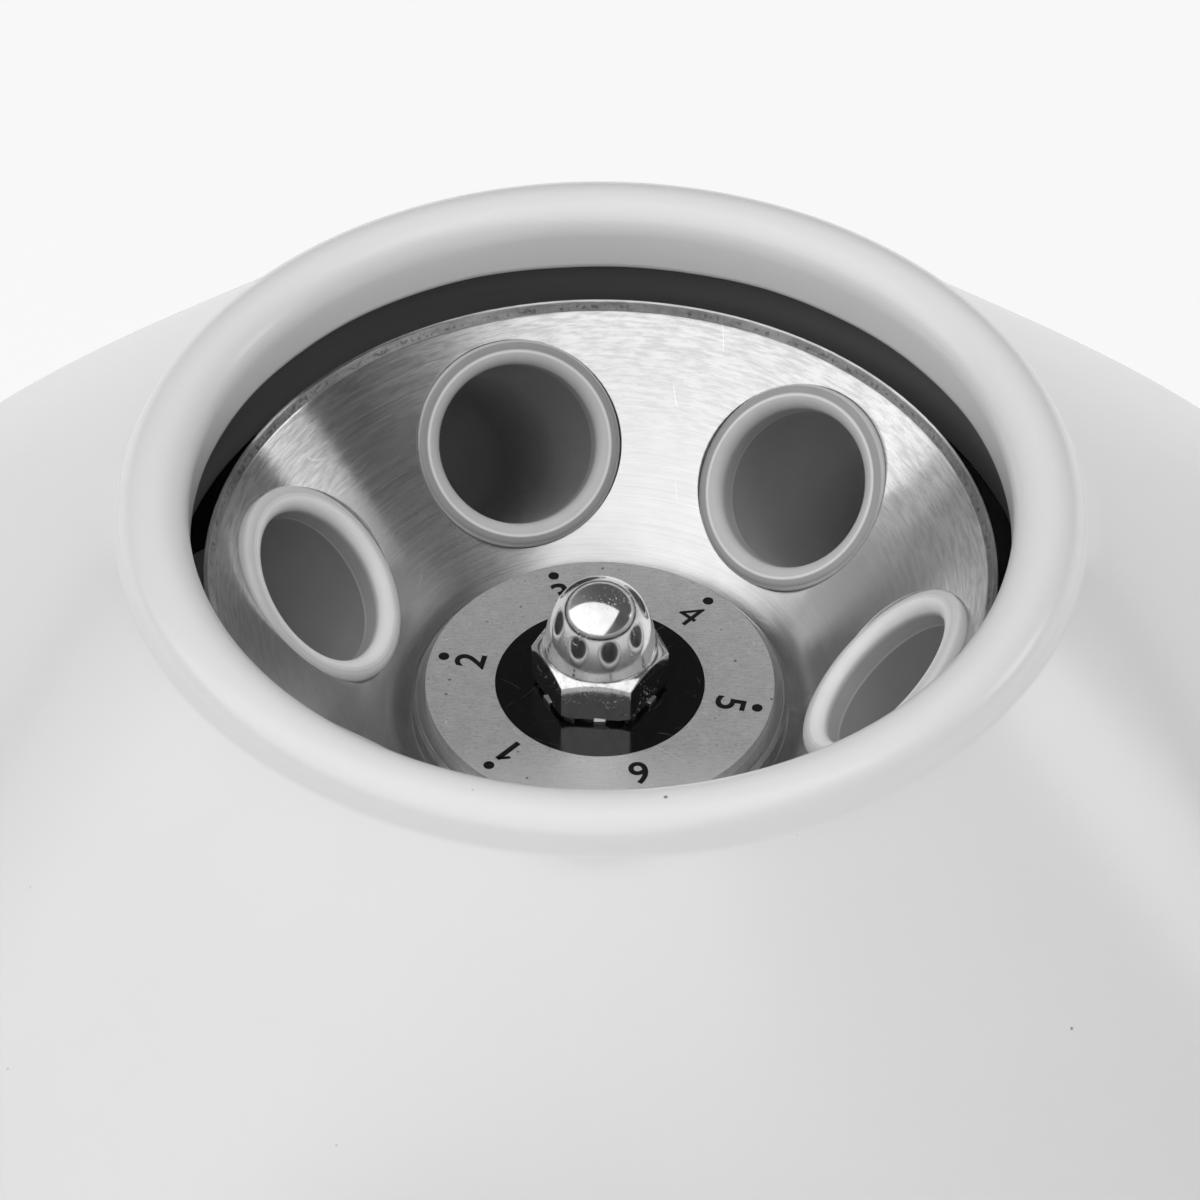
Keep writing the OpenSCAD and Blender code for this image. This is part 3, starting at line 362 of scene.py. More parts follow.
def disc_metal():
    """Brushed aluminium of the number disc: grain along X, pits and scratches, and a painted highlight that
    makes it paler towards the front.
    """
    s = Shader("disc_aluminium")
    grain = s.noise(1, 4, s.stretched(500, 4200, 4200), 0.7)
    speck = s.remap(s.noise(2200, 3), 0.56, 0.70)
    pit = s.math("MULTIPLY", s.remap(s.voronoi(520), 0.08, 0.14, 1.0, 0.0),
                 s.remap(s.noise(260, 1), 0.54, 0.6))
    rim, rounded = s.edges(0.2 * MM, 0.02, 0.22)
    patch = s.remap(s.noise(420, 4, distort=0.5), 0.35, 0.7)
    tone = s.mix(s.remap(grain, 0.28, 0.72), grey(0.48), grey(0.74))
    tone = s.mix(s.math("MULTIPLY", patch, 0.3), tone, grey(0.45))
    tone = s.mix(s.math("MULTIPLY", speck, 0.5), tone, grey(0.28))
    # Painted highlight: paler towards the front
    tone = s.mix(s.remap(s.axes()[1], SHEEN_FULL_Y, SHEEN_NONE_Y, 0.65, 0.0), tone, grey(0.95))
    tone = s.mix(s.math("MULTIPLY", pit, 0.8), tone, grey(0.08))
    scratch = s.math("MAXIMUM", s.scratches(35, 4 * MM, 14 * MM, 0.005, 0.62),
                     s.scratches(-62, 5 * MM, 12 * MM, 0.005, 0.63))
    bright = s.math("MAXIMUM", scratch, s.math("MULTIPLY", rim, s.remap(s.noise(1100, 3), 0.42, 0.6)))
    s.set(Base_Color=s.mix(bright, tone, grey(0.92)), Metallic=0.6,
          Roughness=s.remap(grain, 0.3, 0.7, 0.36, 0.52), Normal=s.bump(grain, 0.16, 0.03 * MM, rounded))
    return s.material


def gloss_black():
    """Glossy black washer with wiped dust and faint hairlines."""
    s = Shader("black_gloss")
    hair = s.math("MAXIMUM", s.scratches(28, 3 * MM, 9 * MM, 0.006, 0.6),
                  s.scratches(-50, 3 * MM, 8 * MM, 0.006, 0.62))
    dust = s.remap(s.noise(900, 4), 0.62, 0.8)
    mark = s.math("MAXIMUM", s.math("MULTIPLY", hair, 0.3), s.math("MULTIPLY", dust, 0.12))
    s.set(Base_Color=s.mix(mark, grey(0.003), grey(0.22)),
          Roughness=s.remap(s.noise(140, 4), 0.3, 0.7, 0.1, 0.16),
          Normal=s.bump(s.noise(600, 2), 0.03, 0.03 * MM))
    return s.material


# Height at which the cap nut's flats end
NUT_FLATS_Z = DISC_Z + 8 * MM


def chrome():
    """Bright plating of the cap nut: soft ripples, dust on the dome, scuffed flats, rounded edges."""
    s = Shader("nut_chrome")
    rim, rounded = s.edges(0.3 * MM, 0.02, 0.25)
    dome = s.remap(s.axes()[2], NUT_FLATS_Z, NUT_FLATS_Z + 1 * MM)
    pin = s.math("MULTIPLY", s.remap(s.voronoi(1400), 0.1, 0.2, 1.0, 0.0),
                 s.remap(s.noise(420, 1), 0.56, 0.6))
    dust = s.math("MULTIPLY", s.remap(s.noise(2600, 2), 0.6, 0.66), s.remap(s.noise(240, 2), 0.5, 0.6))
    flats = s.math("SUBTRACT", 1.0, dome)
    scuff = s.math("MULTIPLY", s.remap(s.noise(1, 4, s.stretched(900, 900, 500), 0.65), 0.5, 0.75), flats)
    nick = s.math("MULTIPLY", rim, s.remap(s.noise(1300, 2), 0.5, 0.6))
    haze = s.remap(s.noise(600, 4), 0.35, 0.7)
    tone = s.mix(s.math("MULTIPLY", pin, 0.5), s.mix(haze, grey(0.80), grey(0.9)), grey(0.25))
    tone = s.mix(s.math("MULTIPLY", scuff, 0.6), tone, grey(0.45))
    ripple = s.math("ADD", s.noise(420, 2), s.math("MULTIPLY", flats, s.noise(1500, 3)))
    dull = s.math("ADD", s.noise(900, 4), s.math("MULTIPLY", scuff, 0.3))
    s.set(Base_Color=s.mix(s.math("MULTIPLY", nick, 0.5), tone, grey(0.97)),
          Metallic=s.math("SUBTRACT", 1.0, s.math("MULTIPLY", dust, 0.6)),
          Roughness=s.remap(dull, 0.3, 0.9, 0.05, 0.2), Normal=s.bump(ripple, 0.05, 0.06 * MM, rounded))
    return s.material


# Grey of each sleeve's throat and lip, set against the photo under this light: painted light, paler on the
# sleeves the light falls on (1 and 6 have a middle grey)
SLEEVE_LIGHT_TONES = {1: (0.8, 0.5), 2: (0.86, 0.62), 3: (0.55, 0.31),
                4: (0.55, 0.34), 5: (0.86, 0.64), 6: (0.8, 0.5)}
# Along a sleeve from its mouth: end of the painted pale throat, where the wall leaves the hole, and the
# painted shade of the bore, darkest at its top and paling by its end
THROAT_Z, WALL_Z, BORE_SHADE_TOP_Z, BORE_SHADE_END_Z = -1.8 * MM, -4.3 * MM, -5 * MM, -30 * MM
# Across its mouth: the ridge and the outer edge
RIDGE_R, BRIM_R = 13.5 * MM, 14.85 * MM


def sleeve_plastic(k):
    """Milky plastic of sleeve k, with painted light: pale at the collar that stands in the light, painted
    highlights round the mouth, painted shade down in the head that pales deeper in.
    """
    throat_tone, lip_tone = SLEEVE_LIGHT_TONES[k]
    s = Shader(f"sleeve_plastic_{k}")
    seat = sleeve_seat(k)
    own_frame = {"Vector": s.place, "Location": seat.translation, "Rotation": seat.to_euler()}
    x, y, z = s.axes(s.node("Mapping", own_frame, vector_type="TEXTURE").outputs[0])
    radius = s.length(x, y)
    cloud = s.remap(s.noise(160, 4), 0.3, 0.7, 0.97, 1.03)
    # Painted light down the bore: painted shade darkest just below the wall, paling deeper in as light
    # coming through the plastic; throat and lip greys are painted light too
    bore = s.mix(s.remap(z, BORE_SHADE_END_Z, BORE_SHADE_TOP_Z, 1.0, 0.0), grey(0.31), grey(0.66))
    wall = s.mix(s.remap(z, WALL_Z - 0.1 * MM, WALL_Z + 0.15 * MM), bore, grey(0.42))
    throat = s.mix(s.remap(z, THROAT_Z - 0.5 * MM, THROAT_Z + 0.5 * MM), wall, grey(throat_tone))
    lip = s.mix(s.remap(radius, RIDGE_R, RIDGE_R + 0.4 * MM), throat, grey(lip_tone))
    # Light gathers on the ridge of the mouth, at the outer edge and where the wall leaves the hole
    ridge = s.math("MULTIPLY", s.near(radius, RIDGE_R, 0.1 * MM, 0.28 * MM), s.remap(z, -1 * MM, -0.6 * MM))
    brim = s.math("MULTIPLY", s.remap(radius, BRIM_R - 0.1 * MM, BRIM_R + 0.1 * MM),
                  s.remap(z, -1.9 * MM, -1.4 * MM, 0.0, 0.6))
    line = s.math("MULTIPLY", s.near(z, WALL_Z, 0.08 * MM, 0.2 * MM), 0.45)
    bright = s.math("MAXIMUM", s.math("MAXIMUM", ridge, brim), line)
    ring = s.noise(1, 2, s.combine(s.math("MULTIPLY", radius, 2600), 0.0, s.math("MULTIPLY", z, 1400)))
    tone = s.mix(1.0, s.mix(bright, lip, grey(0.74)), s.combine(cloud, cloud, cloud), "MULTIPLY")
    s.set(Base_Color=tone, Roughness=s.remap(ring, 0.3, 0.7, 0.285, 0.38),
          Normal=s.bump(ring, 0.05, 0.04 * MM), Subsurface_Weight=0.5, Subsurface_Radius=(1, 1, 1),
          Subsurface_Scale=2 * MM)
    return s.material


def printed(name, value):
    """Printing ink, a little uneven."""
    s = Shader(name)
    thin = grey(min(value * 1.4 + 0.004, 1))
    s.set(Base_Color=s.mix(s.remap(s.noise(1800, 4), 0.4, 0.75), grey(value), thin), Specular_IOR_Level=0.2,
          Roughness=s.remap(s.noise(900, 3), 0.3, 0.7, 0.42, 0.6),
          Normal=s.bump(s.noise(2500, 2), 0.1, 0.01 * MM))
    return s.material


def lens_red():
    """Clear red lens of the indicator lamp, finely fluted."""
    s = Shader("lamp_lens")
    flutes = s.noise(900, 2)
    s.set(Base_Color=s.mix(s.remap(flutes, 0.3, 0.7), (0.42, 0.012, 0.01, 1), (0.62, 0.03, 0.02, 1)),
          Roughness=s.remap(s.noise(300, 3), 0.3, 0.7, 0.1, 0.2), Transmission_Weight=0.35, IOR=1.49,
          Normal=s.bump(flutes, 0.12, 0.1 * MM))
    return s.material


def circuit_board():
    """Green lacquer over copper tracks."""
    s = Shader("board_green")
    tracks = s.remap(s.voronoi(1, s.stretched(330, 330, 330), "DISTANCE_TO_EDGE"), 0.06, 0.1, 1.0, 0.0)
    s.set(Base_Color=s.mix(tracks, (0.01, 0.09, 0.03, 1), (0.03, 0.16, 0.06, 1)),
          Roughness=s.remap(s.noise(400, 3), 0.3, 0.7, 0.3, 0.45), Normal=s.bump(tracks, 0.3, 0.06 * MM))
    return s.material


CASE = (0.80, 0.80, 0.80, 1)
STEEL = (0.62, 0.62, 0.63, 1)
case = moulded("case_white", CASE, 0.36, coat=0.9, specks=True)
base_steel = enamel("base_paint", grey(0.09), 0.45, grey(0.5))
dark_rubber = rubber("rubber_black", 0.018)
zinc = plated("zinc_steel", STEEL, 0.32)
galvanised = plated("galvanised_sheet", (0.55, 0.56, 0.57, 1), 0.42)
bowl = enamel("bowl_enamel", grey(0.11), 0.42, grey(0.3), 0.4, below=grey(0.35))
cast_alu = cast("cast_aluminium", STEEL)
core = laminated("core_sheets", (0.28, 0.29, 0.31, 1))
winding = wound("copper_wire", (0.72, 0.29, 0.10, 1))
bearing = turned("bearing_steel", (0.72, 0.72, 0.73, 1), 0.18)
ground = turned("ground_steel", (0.66, 0.66, 0.67, 1), 0.22)
brass = plated("brass_sheet", (0.72, 0.50, 0.20, 1), 0.3)
copper = turned("copper_bar", (0.78, 0.38, 0.22, 1), 0.3)
carbon = rubber("carbon", 0.03)
fan_black = moulded("fan_plastic", grey(0.02), 0.45)
control = moulded("control_black", grey(0.022), 0.36, grain=1400, relief=0.06)
panel = enamel("panel_grey", (0.50, 0.51, 0.52, 1), 0.42, grey(0.75), 0.5)
works = moulded("works_plastic", (0.30, 0.22, 0.13, 1), 0.5)
dark_works = moulded("works_dark", grey(0.10), 0.45)
nylon = moulded("nylon_white", grey(0.72), 0.45)
head_alu = head_metal()
disc_alu = disc_metal()
washer_black = gloss_black()
nut = chrome()
ink_black = printed("ink_black", 0.005)
ink_white = printed("ink_white", 0.75)

finish = {
    case: ["hood", "tray"], base_steel: ["base_plate"],
    dark_rubber: ["foot_1", "foot_2", "foot_3", "foot_4", "bowl_seal", "neck_seal", "dampers",
                  "cable_gland"],
    zinc: ["foot_nuts", "base_screws", "deck_screws", "motor_bolts", "damper_bolts", "panel_screws",
           "lock_washer", "pillars"],
    galvanised: ["deck_plate"], bowl: ["chamber_bowl"], cast_alu: ["upper_bracket", "lower_bracket"],
    core: ["stator_core", "armature_core"], winding: ["field_coils", "armature_winding"],
    bearing: ["upper_bearing_race", "lower_bearing_race", "upper_bearing_core", "lower_bearing_core"],
    ground: ["motor_shaft", "rotor_hub", "timer_shaft", "speed_shaft"], brass: ["brush_holders"],
    copper: ["commutator"], carbon: ["carbon_brushes"], fan_black: ["cooling_fan"],
    control: ["timer_knob", "speed_knob", "switch_frame", "switch_rocker"], panel: ["control_panel"],
    works: ["timer_body"], dark_works: ["speed_control", "board_parts"], nylon: ["board_standoffs"],
    head_alu: ["rotor_head"], disc_alu: ["number_disc"], washer_black: ["centre_washer"], nut: ["cap_nut"],
    lens_red(): ["indicator_lamp"], circuit_board(): ["control_board"],
}
sleeve_finish = {k: sleeve_plastic(k) for k in range(1, 7)}
for k in range(1, 7):
    finish[sleeve_finish[k]] = [f"sleeve_{k}"]
for material, names in finish.items():
    for name in names:
        for slot in nodes[name].material_slots:
            slot.material = material


# Pieces


def add_piece(name, mesh, material, body):
    """Puts a mesh in the scene with one material, riding on a body."""
    piece = bpy.data.objects.new(name, mesh)
    scene.collection.objects.link(piece)
    mesh.materials.clear()
    mesh.materials.append(material)
    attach(piece, body)
    return piece


# The hood's form, in millimetres, as the solid has it
HALF_W, CORNER_R, SHELL = 135.0, 60.0, 3.0
SEAM_Z, SEAM_BREAK, SLOPE = 100.0, 0.7, math.radians(45)
MOUTH_R, BEAD_R, FILLET_R = 57.4, 5.0, 3.0
BEAD_C, BEAD_Z = MOUTH_R + BEAD_R, DISC_Z / MM + 34.4
LIP_Z, GROOVE_Z = BEAD_Z - 5.8, BEAD_Z - 1.4
# The moulded lip's edge isn't quite even: size, waves round the mouth and phase
LIP_WAVES = ((0.16, 3, 0.6), (0.10, 7, 0), (0.05, 17, 1))
HOOD_R, HOOD_Z = BEAD_C + BEAD_R + 0.1, BEAD_Z + 0.1


def square_r(angle, half, corner):
    """Distance from the centre to a rounded square's edge."""
    turn = angle % (math.pi / 2)
    turn = math.pi / 2 - turn if turn > math.pi / 4 else turn
    flat = half - corner
    if math.tan(turn) <= flat / half:
        return half / math.cos(turn)
    across = flat * (math.cos(turn) - math.sin(turn))
    return flat * (math.cos(turn) + math.sin(turn)) + math.sqrt(max(corner * corner - across * across, 0))


def smooth_min(a, b, k):
    """The smaller of two values, with a rounded change from one to the other."""
    near = max(k - abs(a - b), 0) / k
    return min(a, b) - near * near * k / 4


def hood_at(angle, z, inset):
    """Radius of the hood's surface at height z, drawn in by inset."""
    edge = square_r(angle, HALF_W - inset, CORNER_R - inset)
    start = HOOD_R - inset / math.sin(SLOPE)
    reach = start + (HOOD_Z - SEAM_Z) / math.tan(SLOPE)
    return smooth_min(start + (HOOD_Z - z) / math.tan(SLOPE), edge, reach - edge)


def arc(cx, cz, r, a0, a1, n):
    """Points of an arc from angle a0 to a1, in n steps."""
    angles = [a0 + (a1 - a0) * i / n for i in range(n + 1)]
    return [(cx + r * math.cos(a), cz + r * math.sin(a)) for a in angles]


def steps(first, last, n):
    """Even steps from the first value to the last."""
    return [first + (last - first) * i / n for i in range(n + 1)]


def hood_section(angle):
    """Closed section of the hood: outside, bead, lip and inside, as radius and height."""
    depth = math.cos(SLOPE) * (BEAD_Z - HOOD_Z) + math.sin(SLOPE) * (BEAD_C - HOOD_R)
    run = math.sqrt((BEAD_R + FILLET_R) ** 2 - (FILLET_R - depth) ** 2)
    fx = BEAD_C + run * math.cos(SLOPE) + (FILLET_R - depth) * math.sin(SLOPE)
    fz = BEAD_Z - run * math.sin(SLOPE) + (FILLET_R - depth) * math.cos(SLOPE)
    touch = math.atan2(fz - BEAD_Z, fx - BEAD_C)
    top = fz - FILLET_R * math.cos(SLOPE)
    lip = sum((size * math.sin(waves * angle + phase) for size, waves, phase in LIP_WAVES), LIP_Z)
    outside = [(hood_at(angle, SEAM_Z + 0.5, 0) - SEAM_BREAK, SEAM_Z)]
    outside += [(hood_at(angle, z, 0), z) for z in steps(SEAM_Z + SEAM_BREAK, top, 60)]
    hollow = arc(fx, fz, FILLET_R, 1.5 * math.pi - SLOPE, math.pi + touch, 8)[1:]
    bead = arc(BEAD_C, BEAD_Z, BEAD_R, touch, math.pi, 30)[1:]
    edge = [(MOUTH_R, lip + 1.2), (MOUTH_R + 0.1, lip + 0.6), (MOUTH_R + 0.4, lip + 0.15),
            (MOUTH_R + 0.9, lip), (MOUTH_R + SHELL - 0.2, lip), (MOUTH_R + SHELL, lip + 0.2),
            (MOUTH_R + SHELL, GROOVE_Z)]
    inside = [(hood_at(angle, z, SHELL), z) for z in steps(GROOVE_Z, SEAM_Z, 24)]
    return outside + hollow + bead + edge + inside


def hood_mesh(count=288):
    """The hood's section taken round the spindle."""
    verts, faces = [], []
    for j in range(count):
        angle = 2 * math.pi * j / count
        cos, sin = math.cos(angle), math.sin(angle)
        verts += [(r * cos * MM, r * sin * MM, z * MM) for r, z in hood_section(angle)]
    n = len(verts) // count
    for j in range(count):
        k = (j + 1) % count
        faces += [(j * n + i, k * n + i, k * n + (i + 1) % n, j * n + (i + 1) % n) for i in range(n)]
    mesh = bpy.data.meshes.new("hood_shell")
    mesh.from_pydata(verts, [], faces)
    mesh.shade_smooth()
    mesh.set_sharp_from_angle(angle=math.radians(38))
    return mesh


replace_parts(add_piece("hood_shell", hood_mesh(), case, "base"), "hood")


def swept(name, rows, sharp=30):
    """Mesh of closed rings, each a list of points, with both ends capped."""
    count = len(rows[0])
    verts = [point for row in rows for point in row]
    faces = [tuple(range(count - 1, -1, -1)), tuple(range(len(verts) - count, len(verts)))]
    for i in range(len(rows) - 1):
        for j in range(count):
            k = (j + 1) % count
            faces.append((i * count + j, i * count + k, (i + 1) * count + k, (i + 1) * count + j))
    mesh = bpy.data.meshes.new(name)
    mesh.from_pydata(verts, [], faces)
    mesh.shade_smooth()
    mesh.set_sharp_from_angle(angle=math.radians(sharp))
    return mesh


def ring(radius, z, count):
    """One ring; the radius, in millimetres, may change with the angle, and the height with the radius."""
    points = []
    for j in range(count):
        angle = 2 * math.pi * j / count
        r = radius(angle) if callable(radius) else radius
        h = z(r) if callable(z) else z
        points.append((r * math.cos(angle) * MM, r * math.sin(angle) * MM, h * MM))
    return points


# Cap nut: a hexagon, a neck that leans in more and more, and a round dome
NUT_AF, HEX_H, NUT_TURN, NUT_LIFT = 17.0, 6.7, math.radians(-3.7), 0.8 * MM
HEX_R, HEX_BREAK = NUT_AF / math.sqrt(3), 0.7
NECK_R, NECK_FOOT, NECK_TOP = 8.05, HEX_H + 0.2, 13.3
NECK_LEAN, DOME_LEAN, NECK_STEPS = 6, 25, 24


def nut_mesh(count=240):
    """The nut in its place on the lock washer."""
    def flat(angle):
        return NUT_AF / 2 / math.cos(angle % (math.pi / 3) - math.pi / 6)

    profile = [(NECK_R + 0.25, HEX_H), (NECK_R + 0.08, HEX_H + 0.05), (NECK_R, NECK_FOOT)]
    r, step = NECK_R, (NECK_TOP - NECK_FOOT) / NECK_STEPS
    for i in range(NECK_STEPS):
        share = ((i + 0.5) / NECK_STEPS) ** 1.6
        r -= step * math.tan(math.radians(NECK_LEAN + (DOME_LEAN - NECK_LEAN) * share))
        profile.append((r, NECK_FOOT + step * (i + 1)))
    lean = math.radians(DOME_LEAN)
    ball = r / math.cos(lean)
    profile += arc(0, NECK_TOP - ball * math.sin(lean), ball, lean, math.pi / 2 - 0.002, 40)[1:]
    rows = [ring(lambda a: min(flat(a), HEX_R - HEX_BREAK), 0, count),
            ring(flat, lambda r: max(r - HEX_R + HEX_BREAK, 0) * 0.6, count),
            ring(flat, lambda r: HEX_H - (r - NECK_R - 0.2) * 0.7, count)]
    rows += [ring(r, z, count) for r, z in profile]
    mesh = swept("nut_shell", rows, 24)
    mesh.transform(Matrix.Translation((0, 0, DISC_Z + NUT_LIFT)) @ Matrix.Rotation(NUT_TURN, 4, "Z"))
    return mesh


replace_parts(add_piece("nut_shell", nut_mesh(), nut, "spindle"), "cap_nut")

# Sleeves as the solids have them, with round curves
BORE_R, SLEEVE_R, SLEEVE_BODY = 11.7, 12.9, 70.41
FLANGE_R, FLANGE_T, FLANGE_LIP, FLANGE_BREAK, THROAT_R = 15.2, 3.3, 1.0, 0.4, 1.75
BALL_END = -math.pi / 2 + 0.002


def sleeve_mesh(k, count=120):
    """Sleeve k turned about its own axis: round end, flange, rounded mouth and bore."""
    profile = arc(0, -SLEEVE_BODY, SLEEVE_R, BALL_END, 0, 16)
    profile += [(SLEEVE_R, -FLANGE_T), (FLANGE_R - FLANGE_BREAK, -FLANGE_T),
                (FLANGE_R, -FLANGE_T + FLANGE_BREAK)]
    profile += arc(FLANGE_R - FLANGE_LIP, -FLANGE_LIP, FLANGE_LIP, 0, math.pi / 2, 12)
    profile += arc(BORE_R + THROAT_R, -THROAT_R, THROAT_R, math.pi / 2, math.pi, 12)
    profile += arc(0, -SLEEVE_BODY, BORE_R, 0, BALL_END, 16)
    mesh = swept(f"sleeve_shell_{k}", [ring(r, z, count) for r, z in profile])
    mesh.transform(sleeve_seat(k))
    return mesh


for k in range(1, 7):
    name = f"sleeve_{k}"
    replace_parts(add_piece(f"sleeve_shell_{k}", sleeve_mesh(k), sleeve_finish[k], name), name)


# Printed numbers and marks


def numeral(text, height, thick, bold=0.0):
    """Mesh of a number, its middle at the origin, standing along +Y, thick along +Z."""
    curve = bpy.data.curves.new("numeral", "FONT")
    curve.body = text
    curve.extrude = thick / 2
    curve.offset = bold
    curve.resolution_u = 6
    maker = bpy.data.objects.new("numeral", curve)
    scene.collection.objects.link(maker)
    bpy.context.view_layer.update()
    mesh = bpy.data.meshes.new_from_object(maker.evaluated_get(bpy.context.evaluated_depsgraph_get()))
    bpy.data.objects.remove(maker)
    xs = [v.co.x for v in mesh.vertices]
    ys = [v.co.y for v in mesh.vertices]
    scale = height / (max(ys) - min(ys))
    middle = Vector(((max(xs) + min(xs)) / 2, (max(ys) + min(ys)) / 2, 0))
    mesh.transform(Matrix.Diagonal((scale, scale, 1, 1)) @ Matrix.Translation(-middle))
    return mesh


def disc_mesh(radius, thick, segments=32):
    """Flat round dot with a softened upper edge, its underside at z = 0."""
    rows = [(radius, 0), (radius, thick * 0.6), (radius * 0.96, thick)]
    angles = [2 * math.pi * i / segments for i in range(segments)]
    verts = [(r * math.cos(a), r * math.sin(a), z) for r, z in rows for a in angles]
    faces = [tuple(range(segments - 1, -1, -1)), tuple(range(2 * segments, 3 * segments))]
    for start in (0, segments):
        for i in range(segments):
            j = (i + 1) % segments
            faces.append((start + i, start + j, start + segments + j, start + segments + i))
    mesh = bpy.data.meshes.new("dot")
    mesh.from_pydata(verts, [], faces)
    return mesh


def stroke(length, width, thick, caps=8):
    """Flat bar with round ends along +Y, from the origin up, its underside at z = 0."""
    r = width / 2
    outline = arc(0, length - r, r, 0, math.pi, caps) + arc(0, r, r, math.pi, 2 * math.pi, caps)
    return swept("stroke", [[(x, y, 0) for x, y in outline], [(x, y, thick * 0.7) for x, y in outline],
                            [(x * 0.94, y, thick) for x, y in outline]])


def joined(name, meshes):
    """One mesh out of several."""
    verts, faces = [], []
    for mesh in meshes:
        start = len(verts)
        verts += [tuple(v.co) for v in mesh.vertices]
        faces += [tuple(start + i for i in face.vertices) for face in mesh.polygons]
    made = bpy.data.meshes.new(name)
    made.from_pydata(verts, [], faces)
    return made


INK = 0.03 * MM
NUMBER_R, NUMBER_H, NUMBER_BOLD = 19.1 * MM, 4.4 * MM, 0.016
DOT_PLACE_R, DOT_R = 23 * MM, 0.78 * MM
# The 1 has a flag; the 4 stays thin, so that it doesn't fill up
FLAG_LENGTH, FLAG_W = 1.9 * MM, 0.5 * MM
FLAG_PLACE, FLAG_TURN = (0.1 * MM, 2.1 * MM, -INK / 2), math.radians(138)
for k in range(1, 7):
    angle = sleeve_angle(k)
    outward = Matrix.Rotation(angle - math.pi / 2, 4, "Z")
    mesh = numeral(str(k), NUMBER_H, INK, 0.0 if k == 4 else NUMBER_BOLD)
    if k == 1:
        flag = stroke(FLAG_LENGTH, FLAG_W, INK)
        flag.transform(Matrix.Translation(FLAG_PLACE) @ Matrix.Rotation(FLAG_TURN, 4, "Z"))
        mesh = joined("disc_number_1", [mesh, flag])
    mesh.transform(Matrix.Translation((0, 0, DISC_Z + INK / 2)) @ outward
                   @ Matrix.Translation((0, NUMBER_R, 0)))
    add_piece(f"disc_number_{k}", mesh, ink_black, "spindle")
    mesh = disc_mesh(DOT_R, INK)
    mesh.transform(Matrix.Translation((0, 0, DISC_Z)) @ outward @ Matrix.Translation((0, DOT_PLACE_R, 0)))
    add_piece(f"disc_dot_{k}", mesh, ink_black, "spindle")


def front_frame(x, z, y):
    """Frame on the panel: +X to the right, +Y up, +Z out towards someone who faces it."""
    return Matrix.Translation((x, y, z)) @ Matrix.Rotation(math.pi / 2, 4, "X")


# Scales printed round the knobs, and the white line in each knob's groove
PANEL_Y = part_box("control_panel")[0].y
TICK_R, LONG_TICK, SHORT_TICK, TICK_W = 19.2 * MM, 2.6 * MM, 1.7 * MM, 0.5 * MM
FIGURE_R, FIGURE_H = 24.4 * MM, 2.5 * MM
POINTER_R, POINTER_LENGTH, POINTER_W, POINTER_T = 4.1 * MM, 7.4 * MM, 1.1 * MM, 0.35 * MM
GROOVE_DEPTH = 0.8 * MM
for name, body, start, sweep, ticks, every, top in (("timer", "timer_dial", 0, 300, 12, 2, 60),
                                                    ("speed", "speed_dial", -135, 270, 10, 1, 10)):
    low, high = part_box(f"{name}_knob")
    x, z = (low.x + high.x) / 2, (low.z + high.z) / 2
    face = front_frame(x, z, PANEL_Y)
    marks = []
    for i in range(ticks + 1):
        turn = Matrix.Rotation(-math.radians(start + sweep * i / ticks), 4, "Z")
        mesh = stroke(LONG_TICK if i % every == 0 else SHORT_TICK, TICK_W, INK)
        mesh.transform(face @ turn @ Matrix.Translation((0, TICK_R, 0)))
        marks.append(mesh)
        if i % every == 0:
            mesh = numeral(str(round(top * i / ticks)), FIGURE_H, INK)
            middle = turn @ Vector((0, FIGURE_R, 0))
            mesh.transform(face @ Matrix.Translation((middle.x, middle.y, INK / 2)))
            marks.append(mesh)
    add_piece(f"{name}_scale", joined(f"{name}_scale", marks), ink_black, "base")
    mesh = stroke(POINTER_LENGTH, POINTER_W, POINTER_T)
    mesh.transform(front_frame(x, z, low.y + GROOVE_DEPTH) @ Matrix.Rotation(-math.radians(start), 4, "Z")
                   @ Matrix.Translation((0, POINTER_R, 0)))
    add_piece(f"{name}_pointer", mesh, ink_white, body)


def placed(x, y, z, place):
    """Matrix with the given axes, at a place."""
    return Matrix([*zip(x, y, z, place), (0, 0, 0, 1)])


# Camera at the photograph's angle: the eye's place is from the middle of the number disc
TILT, ROLL = math.radians(43.781), math.radians(0.39)
SENSOR_W, FOCAL_PX, FRAME_PX = 36, 6429.7, 1200
CLIP_START, CLIP_END = 0.05, 50
EYE_DISTANCE, EYE_SIDE, EYE_RISE = 920 * MM, -0.07 * MM, 11.73 * MM
ahead = Vector((0, math.cos(TILT), -math.sin(TILT)))
above = Vector((0, math.sin(TILT), math.cos(TILT)))
camera_data = bpy.data.cameras.new("camera")
camera_data.sensor_width = SENSOR_W
camera_data.lens = SENSOR_W * FOCAL_PX / FRAME_PX
camera_data.clip_start = CLIP_START
camera_data.clip_end = CLIP_END
camera = bpy.data.objects.new("camera", camera_data)
scene.collection.objects.link(camera)
eye = Vector((EYE_SIDE, 0, DISC_Z)) + above * EYE_RISE - ahead * EYE_DISTANCE
right = ahead.cross(above)
up = above * math.cos(ROLL) - right * math.sin(ROLL)
side = ahead.cross(up)
camera.matrix_world = placed(side, up, -ahead, eye)
scene.camera = camera


# Floor and light


